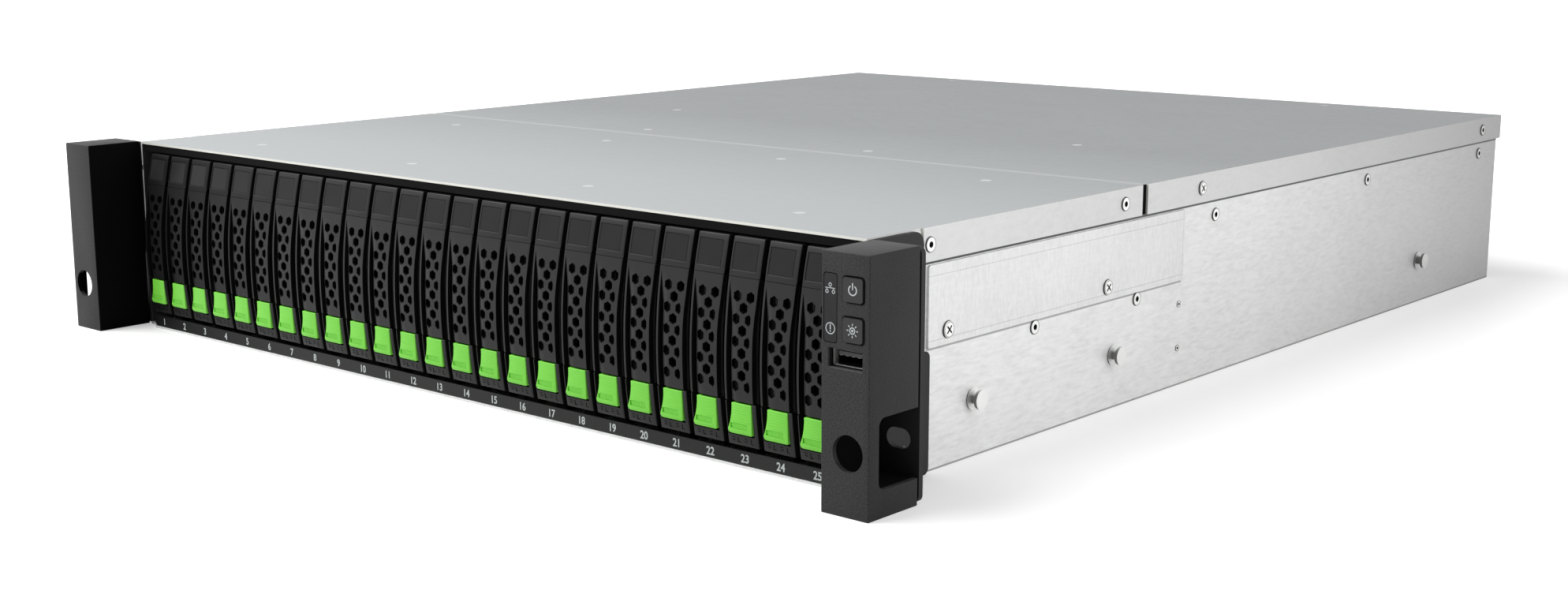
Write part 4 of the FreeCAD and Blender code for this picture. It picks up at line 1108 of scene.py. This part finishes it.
carrierPieces = {
    # name, master and slot of what every bay holds
    "frame": ("carrierFrame", makeCarrierFrame(), "black_plastic"),
    "lever": ("carrierLever", makeLever(), "black_plastic"),
    "tab": ("releaseTab", makeTab(), "green_plastic"),
    "window": ("statusWindow", makeWindow(), "indicator_plastic"),
    "drive": ("driveUnit", makeDrive(), "drive_metal"),
}


def dressCarriers():
    for node in bayNodes:
        bay = node[-2:]
        low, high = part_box(node)
        for kind, (name, master, slotName) in carrierPieces.items():
            piece = copyTo(master, name + bay, ((low.x + high.x) / 2, frontEdge, 0))
            ownNode = f"carrier_{kind}_{bay}"       # three bays have a lever and a tab that turn
            if ownNode in nodes:
                dress(piece, f"{kind}_{bay}", slotName, [ownNode])
            else:
                dress(piece, f"drive_{bay}", slotName, [node] if kind == "frame" else ())
    for name, master, slotName in carrierPieces.values():
        bpy.data.objects.remove(master)


dressCarriers()
print("carriers dressed")


# the ears: hollow mouldings, with the key surrounds and the socket in the right one

ear = {
    "inner": 221.3,
    "outer": 241.3,
    "frontY": -26.1,
    "backY": 0.35,          # a hair in front of the bracket, so that the joint shows
    "top": 88.0,
    "wall": 1.8,
    "round": 0.4,
    "holeX": 232.55,
    "holeZ": 21.8,
    "holeRadius": 6.3,
    "pocketFront": -20.8,
    "pocketLow": 9.6,
    "pocketHigh": 34.0,
    "pocketRound": 3.0,
    "lining": 0.15,
}

controls = {
    "keyX": 234.65,
    "keyZ": (76.2, 63.0),
    "keyHalf": (4.05, 4.0),
    "keyRound": 1.0,
    "gap": 0.25,
    "flare": 0.45,
    "flareDepth": 0.4,
    "lightX": 225.05,
    "lightZ": 69.35,
    "lightHalf": (2.65, 11.35),
    "lightGap": 0.22,
    "lightDepth": 1.1,
    "lampOffset": 6.5,
    "lampHalf": 1.0,
    "switchHalf": 2.25,
    "switchDepth": 4.5,
    "boardY": -12.0,
    "boardThick": 1.6,
    "boardInset": 1.85,
    "boardZ": (40.0, 85.0),
}

socket = {
    "x": 231.3,
    "z": 53.0,
    "half": (6.6, 2.85),
    "sheet": 0.3,
    "shellFront": 2.0,      # depths behind the ear's face
    "liningFront": 2.9,
    "tongueFront": 2.6,
    "liningLeft": 1.6,
    "tongueThick": 1.4,
    "contactPitch": 2.5,
    "contactHalf": (0.5, 0.06),
    "shellEnd": 1.5,        # depths in front of the board
    "liningEnd": 1.4,
    "roomEnd": 2.0,
    "contactEnd": 3.0,
}


def onEar(y):
    # a depth counted from the cover's front edge, in the frame of the part
    return frontEdge / mm + y


def makeEarShell():
    front, back, wall = onEar(ear["frontY"]), onEar(ear["backY"]), ear["wall"]
    inner, outer, top, low, high = pick(ear, "inner outer top pocketLow pocketHigh")
    shell = block("earHousing", (inner, front, 0), (outer, back, top))
    bevelEdges(shell, ear["round"], 3)
    left, right = inner + wall, outer - wall
    rooms = [(high + wall, top - wall), (low, high), (wall, low - wall)]
    cutters = [block("room", (left, front + wall, foot), (right, back + 1, roof)) for foot, roof in rooms]
    cutters.append(rod("toolHole", (ear["holeX"], front, ear["holeZ"]), ear["holeRadius"], 8.0, sides=64))
    cutters.append(cornered(
        "sideWindow", (right - 1, onEar(ear["pocketFront"]), low), (outer + 1, back + 8, high),
        ear["pocketRound"], "X", 8,
    ))
    cutAway(shell, cutters)
    return shell


def makeControlOpenings():
    front, gap, keyX = onEar(ear["frontY"]), controls["gap"], controls["keyX"]
    places = [(keyX, z, controls["keyHalf"], controls["keyRound"] + gap) for z in controls["keyZ"]]
    places.append((socket["x"], socket["z"], socket["half"], 0.3))
    cutters = []
    for x, z, (halfX, halfZ), radius in places:
        outline = (x, z, halfX + gap, halfZ + gap)
        cutters.append(cornered("opening", *around(*outline, front - 1, front + 3), radius, "Y"))
        depths = (front - 0.05, front + controls["flareDepth"])
        cutters.append(flared("flare", *around(*outline, *depths), radius, controls["flare"]))
    halfX, halfZ = (half + controls["lightGap"] for half in controls["lightHalf"])
    depths = (front - 1, front + controls["lightDepth"])
    cutters.append(cornered(
        "lightRecess", *around(controls["lightX"], controls["lightZ"], halfX, halfZ, *depths), 1.0, "Y",
    ))
    return cutters


def makePocketLining(side):
    # painted shade: the dull dark inner walls of the pocket behind the tool hole
    front, back, wall = onEar(ear["frontY"]), onEar(ear["backY"]), ear["wall"]
    left, right = ear["inner"] + wall, ear["outer"] - wall
    low, high, thin = pick(ear, "pocketLow pocketHigh lining")
    lining = block("pocketLining", (left, front + wall, low), (right, back - 0.1, high))
    cutAway(lining, [block("room", (left + thin, front, low + thin), (right + 1, back + 1, high - thin))])
    if side < 0:
        mirrorAcross(lining)
    dress(lining, "enclosure", "black_steel")


def makeEars():
    left, right = makeEarShell(), makeEarShell()
    left.name, right.name = "leftEarHousing", "rightEarHousing"
    mirrorAcross(left)
    cutAway(right, makeControlOpenings())
    for piece, node in ((left, "left_ear_housing"), (right, "right_ear_housing")):
        smoothEdges(piece)
        dress(piece, "enclosure", "ear_plastic", [node])
    for side in (-1, 1):
        makePocketLining(side)


def makeFrontSocket():
    front, boardY = onEar(ear["frontY"]), onEar(controls["boardY"])
    x, z, (halfX, halfZ), sheet = pick(socket, "x z half sheet")
    innerX, innerZ, left = halfX - sheet, halfZ - sheet, x - halfX + socket["liningLeft"]
    shell = block("socketShell", *around(x, z, halfX, halfZ, front + socket["shellFront"], boardY))
    shellEnd, liningEnd, roomEnd, contactEnd = (
        boardY - depth for depth in pick(socket, "shellEnd liningEnd roomEnd contactEnd")
    )
    cutAway(shell, [block("mouth", *around(x, z, innerX, innerZ, front - 1, shellEnd))])
    bevelEdges(shell, 0.08, 2)
    dress(shell, "enclosure", "turned_steel")
    # painted shade: a dull dark lining inside the socket's shell
    lining = block(
        "socketLining", (left, front + socket["liningFront"], z - innerZ),
        (x + innerX, liningEnd, z + innerZ),
    )
    cutAway(lining, [block(
        "mouth", (left + sheet, front, z - innerZ + sheet),
        (x + innerX - sheet, roomEnd, z + innerZ - sheet),
    )])
    dress(lining, "enclosure", "black_steel")
    tongueFront, tongueTop = front + socket["tongueFront"], z + innerZ - 0.5
    tongueLow = tongueTop - socket["tongueThick"]
    tongue = block(
        "socketTongue", (left + sheet, tongueFront, tongueLow), (x + halfX - 1.0, shellEnd, tongueTop)
    )
    bevelEdges(tongue, 0.15, 2)
    dress(tongue, "enclosure", "connector_plastic")
    contacts = []
    for k in (-1.5, -0.5, 0.5, 1.5):
        place = (x + k * socket["contactPitch"], tongueLow - 0.04, *socket["contactHalf"])
        contacts.append(block("contact", *around(*place, tongueFront, contactEnd)))
    dress(joinPieces("socketContacts", contacts), "enclosure", "turned_steel")


def makeSocketBoard():
    boardY, inset, (low, high) = pick(controls, "boardY boardInset boardZ")
    boardY = onEar(boardY)
    board = block(
        "socketBoard", (ear["inner"] + inset, boardY, low),
        (ear["outer"] - inset, boardY + controls["boardThick"], high),
    )
    dress(board, "enclosure", "circuit_board", ["front_io_board"])
    half, lampHalf, lightX = pick(controls, "switchHalf lampHalf lightX")
    keyX, switchFront = controls["keyX"], boardY - controls["switchDepth"]
    parts = [block("switch", *around(keyX, z, half, half, switchFront, boardY)) for z in controls["keyZ"]]
    for side in (-1, 1):
        z = controls["lightZ"] + side * controls["lampOffset"]
        parts.append(block("lamp", *around(lightX, z, lampHalf, lampHalf, boardY - 0.8, boardY)))
    dress(joinPieces("boardParts", parts), "enclosure", "connector_plastic")


makeEars()
makeFrontSocket()
makeSocketBoard()
print("ears made")


# bay numbers along the foot

numbering = {
    "height": 2.95,
    "capitals": 0.69,       # height of a numeral as a share of the type size
    "width": 0.93,
    "weight": 0.085,
    "raise": 0.04,
    "sunk": 0.032,
    "base": 2.35,
}


def makeNumber(node, faceY):
    selectNone()
    bpy.ops.object.text_add(location=(0, 0, 0))
    text = bpy.context.active_object.data
    text.body = str(int(node[-2:]))
    text.size = numbering["height"] / numbering["capitals"] * mm
    text.align_x = "CENTER"
    text.offset = numbering["weight"] * mm
    text.extrude = numbering["raise"] * mm
    bpy.ops.object.convert(target="MESH")
    number = bpy.context.active_object
    place = (middleOf(*nodeBox(node))[0], faceY, numbering["base"])
    number.data.transform(Matrix.Diagonal((numbering["width"], 1, 1, 1)))
    number.data.transform(Matrix.Rotation(math.pi / 2, 4, "X"))
    number.data.transform(Matrix.Translation([value * mm for value in place]))
    return number


def makeBayNumbers():
    faceY = nodeBox("number_strip")[0][1] - numbering["raise"] + numbering["sunk"]
    numbers = [makeNumber(node, faceY) for node in bayNodes]
    dress(joinPieces("bayNumbers", numbers), "enclosure", "printed_grey")


makeBayNumbers()
print("bay numbers set")


# right ear: printed symbols on the keys and the light window

symbol = {
    "raise": 0.02,
    "sunk": 0.02,
    "stroke": 0.42,
    "thin": 0.26,           # of the link light's sign
    "station": 0.66,
    "power": (1.8, 30),     # radius, and the angle left open on either side of the top
    "fault": (1.98, 0.32),
    "locate": (1.2, 0.36),
    "ray": (1.6, 2.35),     # from the locate sign's middle
}


def bar(x, z, half, low, high, faceY):
    # a thin printed bar on a face that looks forward, from low to high above z
    front, back = faceY - symbol["raise"], faceY + symbol["sunk"]
    return block("bar", (x - half, front, z + low), (x + half, back, z + high))


def ring(x, z, radius, line, faceY):
    disc = rod("ring", (x, faceY, z), radius, 2 * symbol["raise"])
    cutAway(disc, [rod("hole", (x, faceY, z), radius - line, 4.0)])
    return disc


def openRing(x, z, radius, line, faceY, opening, steps=40):
    # a printed ring that is left open at its top by this many degrees on either side
    outline = []
    for reach, order in ((radius, range(steps + 1)), (radius - line, range(steps, -1, -1))):
        for k in order:
            angle = math.radians(opening + (360 - 2 * opening) * k / steps)
            outline.append((x + reach * math.sin(angle), z + reach * math.cos(angle)))
    return prism("arc", outline, faceY - symbol["raise"], faceY + symbol["sunk"])


def makeLightSymbols():
    low, high = nodeBox("indicator_window")
    x, faceY, thin, station = middleOf(low, high)[0], low[1], symbol["thin"], symbol["station"]
    # three stations on a line, for the link light
    linkX, linkZ = x - 0.1, high[2] - 4.9
    pieces = [ring(linkX, linkZ + 1.15, station, thin, faceY)]
    for side in (-1, 1):
        stationX = linkX + side * 1.35
        pieces.append(ring(stationX, linkZ - 1.1, station, thin, faceY))
        pieces.append(bar(stationX, linkZ, thin / 2, -0.5, 0.1, faceY))
    pieces.append(bar(linkX, linkZ, 2.05, -0.05, 0.2, faceY))
    pieces.append(bar(linkX, linkZ, thin / 2, 0.1, 0.55, faceY))
    # a ringed stroke and dot, for the fault light
    faultZ = low[2] + 4.5
    pieces.append(ring(x, faultZ, *symbol["fault"], faceY))
    pieces.append(bar(x, faultZ, 0.2, -0.35, 1.35, faceY))
    pieces.append(bar(x, faultZ, 0.2, -1.15, -0.7, faceY))
    dress(joinPieces("lightSymbols", pieces), "enclosure", "printed_grey")


def frontOf(node):
    # the middle of a node's front face
    low, high = nodeBox(node)
    return (low[0] + high[0]) / 2, low[1], (low[2] + high[2]) / 2


def makeKeySymbols():
    x, faceY, z = frontOf("power_button")
    stroke = symbol["stroke"]
    radius, opening = symbol["power"]
    pieces = [openRing(x, z, radius, stroke, faceY, opening), bar(x, z, stroke / 2, 0.1, 2.4, faceY)]
    dress(joinPieces("powerSymbol", pieces), "power_key", "printed_grey")
    x, faceY, z = frontOf("locate_button")
    pieces = [
        ring(x, z, *symbol["locate"], faceY), rod("dot", (x, faceY, z), stroke, 2 * symbol["raise"])
    ]
    centre = Matrix.Translation((x * mm, 0, z * mm))
    for k in range(8):
        ray = bar(x, z, 0.16, *symbol["ray"], faceY)
        ray.data.transform(centre @ Matrix.Rotation(math.radians(45 * k), 4, "Y") @ centre.inverted())
        pieces.append(ray)
    dress(joinPieces("locateSymbol", pieces), "locate_key", "printed_grey")


makeLightSymbols()
makeKeySymbols()
print("ear symbols set")


# the strip under the bay numbers, with rounded ends

numberStrip = {"overhang": 1.1, "foot": 1.02, "round": 3.0}


def makeNumberStrip():
    low, high = nodeBox("number_strip")
    reach, foot = high[0] + numberStrip["overhang"], numberStrip["foot"]
    strip = cornered(
        "numberStrip", (-reach, low[1], foot), (reach, high[1], high[2]), numberStrip["round"], "Y", 8
    )
    dress(strip, "enclosure", "black_plastic", ["number_strip"])


makeNumberStrip()
print("number strip made")


# fasteners: low heads, and painted shade for the crosses, the rivets' eyes and thin dark edges

fastener = {
    "eye": 0.42,            # shares of the head's radius
    "slotReach": 0.6,
    "slotWidth": 0.2,
    # rim and edge: widths of the painted dark ring round a head and of the dark edge on it
    "rim": 0.16,
    "edge": 0.17,
    "sheetFace": 220.25,
    "headHeight": 0.75,
    "flushHeight": 0.9,
    "rivetHead": 0.5,
    "shank": 1.5,
    "earDepth": 30.0,       # further back than this the fasteners sit on the walls
}


def looseBoxes(node):
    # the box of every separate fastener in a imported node, in millimetres
    copyTo(nodes[node], "loose", (0, 0, 0))
    editAll(bpy.data.objects["loose"])
    bpy.ops.mesh.remove_doubles(threshold=0.00001)
    bpy.ops.mesh.separate(type="LOOSE")
    leaveEdit()
    boxes = []
    for piece in [item for item in bpy.data.objects if item.name.startswith("loose")]:
        places = [vertex.co / mm for vertex in piece.data.vertices]
        low = [min(place[axis] for place in places) for axis in range(3)]
        high = [max(place[axis] for place in places) for axis in range(3)]
        boxes.append((low, high))
        bpy.data.objects.remove(piece)
    return sorted(boxes)


def onSideWall(low, high):
    # true for a fastener that faces out of the left or right wall
    return high[0] - low[0] < high[2] - low[2] and abs(low[0] + high[0]) > 400 and low[1] > onEar(0)


def faceOf(low, high):
    # side of the shelf, middle in Y and Z, and radius
    x, y, z = middleOf(low, high)
    return (1 if x > 0 else -1), y, z, (high[2] - low[2]) / 2


def makeScrew(low, high):
    # a low head with a rounded rim on its shank; the flush ones end at the sheet
    side, y, z, radius = faceOf(low, high)
    root, top = sorted((abs(low[0]), abs(high[0])))
    sheetFace, thick = pick(fastener, "sheetFace flushHeight")
    proud = top > sheetFace + 1.1 and y > onEar(fastener["earDepth"])
    if proud:
        top, thick = sheetFace + fastener["headHeight"], fastener["headHeight"]
    head = rod("head", (side * (top - thick / 2), y, z), radius, thick, "X", 40)
    bevelEdges(head, 0.3 if proud else 0.1, 3)
    length = top - thick - root
    shank = rod("shank", (side * (root + length / 2), y, z), fastener["shank"], length, "X")
    return joinPieces("screw", [head, shank]), top


def makeOutline(x, y, z, radius):
    # painted shade: the thin dark edge of a head
    disc = rod("outline", (x, y, z), radius - 0.02, 0.05, "X", 40)
    cutAway(disc, [rod("inner", (x, y, z), radius - 0.02 - fastener["edge"], 2.0, "X", 40)])
    return disc


def makeCross(x, y, z, radius):
    # painted shade: two dark bars stand for the cross recess
    reach, width = radius * fastener["slotReach"], radius * fastener["slotWidth"] / 2
    centre = Matrix.Translation((x * mm, y * mm, z * mm))
    bars = []
    for turn in (45, 135):
        arm = block("bar", *around(x, z, 0.03, width, y - reach, y + reach))
        arm.data.transform(centre @ Matrix.Rotation(math.radians(turn), 4, "X") @ centre.inverted())
        bars.append(arm)
    return bars


def markFasteners():
    eyeShades, recessShades, shadeRings, screws = [], [], [], []
    sheetFace, rim = pick(fastener, "sheetFace rim")
    for low, high in looseBoxes("screws"):
        side, y, z, radius = faceOf(low, high)
        screw, top = makeScrew(low, high)
        screws.append(screw)
        recessShades += makeCross(side * top, y, z, radius)
        if top > sheetFace and y > onEar(fastener["earDepth"]):
            # painted shade: a dark ring round the head, on the sheet, and a dark edge on the head
            shadeRings.append(rod("rim", (side * (sheetFace + 0.03), y, z), radius + rim, 0.04, "X"))
            shadeRings.append(makeOutline(side * top, y, z, radius - 0.3))
    for low, high in looseBoxes("rivets"):
        if onSideWall(low, high):
            side, y, z, radius = faceOf(low, high)
            face = high[0] if side > 0 else low[0]
            foot = face - side * (fastener["rivetHead"] - 0.05)
            # painted shade: a dark ring round the rivet's head and a dark edge on it
            shadeRings.append(rod("rim", (foot, y, z), radius + rim, 0.06, "X"))
            shadeRings.append(makeOutline(face, y, z, radius))
            # painted shade: a dark disc for the rivet's eye
            eyeShades.append(rod("eye", (face, y, z), radius * fastener["eye"], 0.06, "X", 24))
    dress(joinPieces("screwHeads", screws), "enclosure", "turned_steel", ["screws"])
    for name, pieces in (("rivetEyes", eyeShades), ("screwSlots", recessShades), ("fastenerRims", shadeRings)):
        dress(joinPieces(name, pieces), "enclosure", "black_steel")


markFasteners()
print("fasteners marked")


# the gap between the two covers: painted shade, a dark piece in the slot of each side, and a strip under the
# lap that takes the split's painted highlight

coverGap = {
    "slotHalf": 1.9, "slotX": (219.2, 219.4), "slotZ": (76.0, 87.9),
    "lapHalf": 0.9, "lapX": 219.0, "lapZ": (87.2, 87.97),
}


def fillCoverGap():
    middle, half, (low, high) = cover["split"] / mm, coverGap["slotHalf"], coverGap["slotZ"]
    recessShades = []
    for side in (-1, 1):
        near, far = sorted(side * x for x in coverGap["slotX"])
        recessShades.append(block("slot", (near, middle - half, low), (far, middle + half, high)))
    dress(joinPieces("coverSplit", recessShades), "enclosure", "black_steel")
    reach, half, (low, high) = pick(coverGap, "lapX lapHalf lapZ")
    lap = block("coverLap", (-reach, middle - half, low), (reach, middle + half, high))
    dress(lap, "enclosure", "cover_steel")


fillCoverGap()
print("cover gap filled")


# the rear: linings, tongues and contacts of the sockets

rear = {
    "face": 542.5,          # counted from the cover's front edge
    "depth": 14.0,
    "lining": 0.25,
    "wideSockets": (-8.0, 24.0),
    "wideSize": (22.0, 9.6),
    "tongueHalf": (8.5, 0.9),
    "pinPitch": 1.25,
    "pinHalf": (0.3, 0.05),
    "squareSocket": 62.0,
    "squareSize": (14.6, 12.6),
    "squarePinPitch": 1.2,
    "squarePinHalf": (0.2, 0.15),
    "inletX": 134.8,
    "inletZ": 24.0,
    "inletSize": (27.0, 19.8),
    "inletDepth": 11.0,
}


def makeSocketLining(x, z, size, depth):
    face, thin = onEar(rear["face"]), rear["lining"]
    halfX, halfZ = size[0] / 2, size[1] / 2
    lining = block("lining", *around(x, z, halfX, halfZ, face - depth, face - 0.3))
    cutAway(lining, [block(
        "mouth", *around(x, z, halfX - thin, halfZ - thin, face - depth + thin, face + 1)
    )])
    return lining


def lineCanister(node):
    low, high = nodeBox(node)
    z = (low[2] + high[2]) / 2
    face, depth, x = onEar(rear["face"]), rear["depth"], rear["squareSocket"]
    linings, tongues, pins = [], [], []
    for wideX in rear["wideSockets"]:
        linings.append(makeSocketLining(wideX, z, rear["wideSize"], depth))
        place = (wideX, z, *rear["tongueHalf"])
        tongues.append(block("tongue", *around(*place, face - depth + 0.1, face - 3.0)))
        for side in (-1, 1):
            for k in range(-6, 7):
                place = (wideX + k * rear["pinPitch"], z + side * 0.92, *rear["pinHalf"])
                pins.append(block("contact", *around(*place, face - depth + 1, face - 3.4)))
    linings.append(makeSocketLining(x, z, rear["squareSize"], depth))
    for k in range(8):
        place = (x + (k - 3.5) * rear["squarePinPitch"], z + 4.15, *rear["squarePinHalf"])
        pins.append(block("contact", *around(*place, face - depth + 1, face - 2.5)))
    body, level = node.replace("canister", "module"), node[:5]
    dress(joinPieces("socketLinings" + level, linings), body, "black_steel")
    dress(joinPieces("socketTongues" + level, tongues), body, "connector_plastic")
    dress(joinPieces("socketPins" + level, pins), body, "turned_steel")


def makeRearSockets():
    for node in ("lower_canister", "upper_canister"):
        lineCanister(node)
    inletX, z, size, depth = pick(rear, "inletX inletZ inletSize inletDepth")
    for side, name, body in ((-1, "Left", "left_supply"), (1, "Right", "right_supply")):
        lining = makeSocketLining(side * inletX, z, size, depth)
        lining.name = "inletLining" + name
        dress(lining, body, "black_plastic")


makeRearSockets()
print("rear sockets lined")
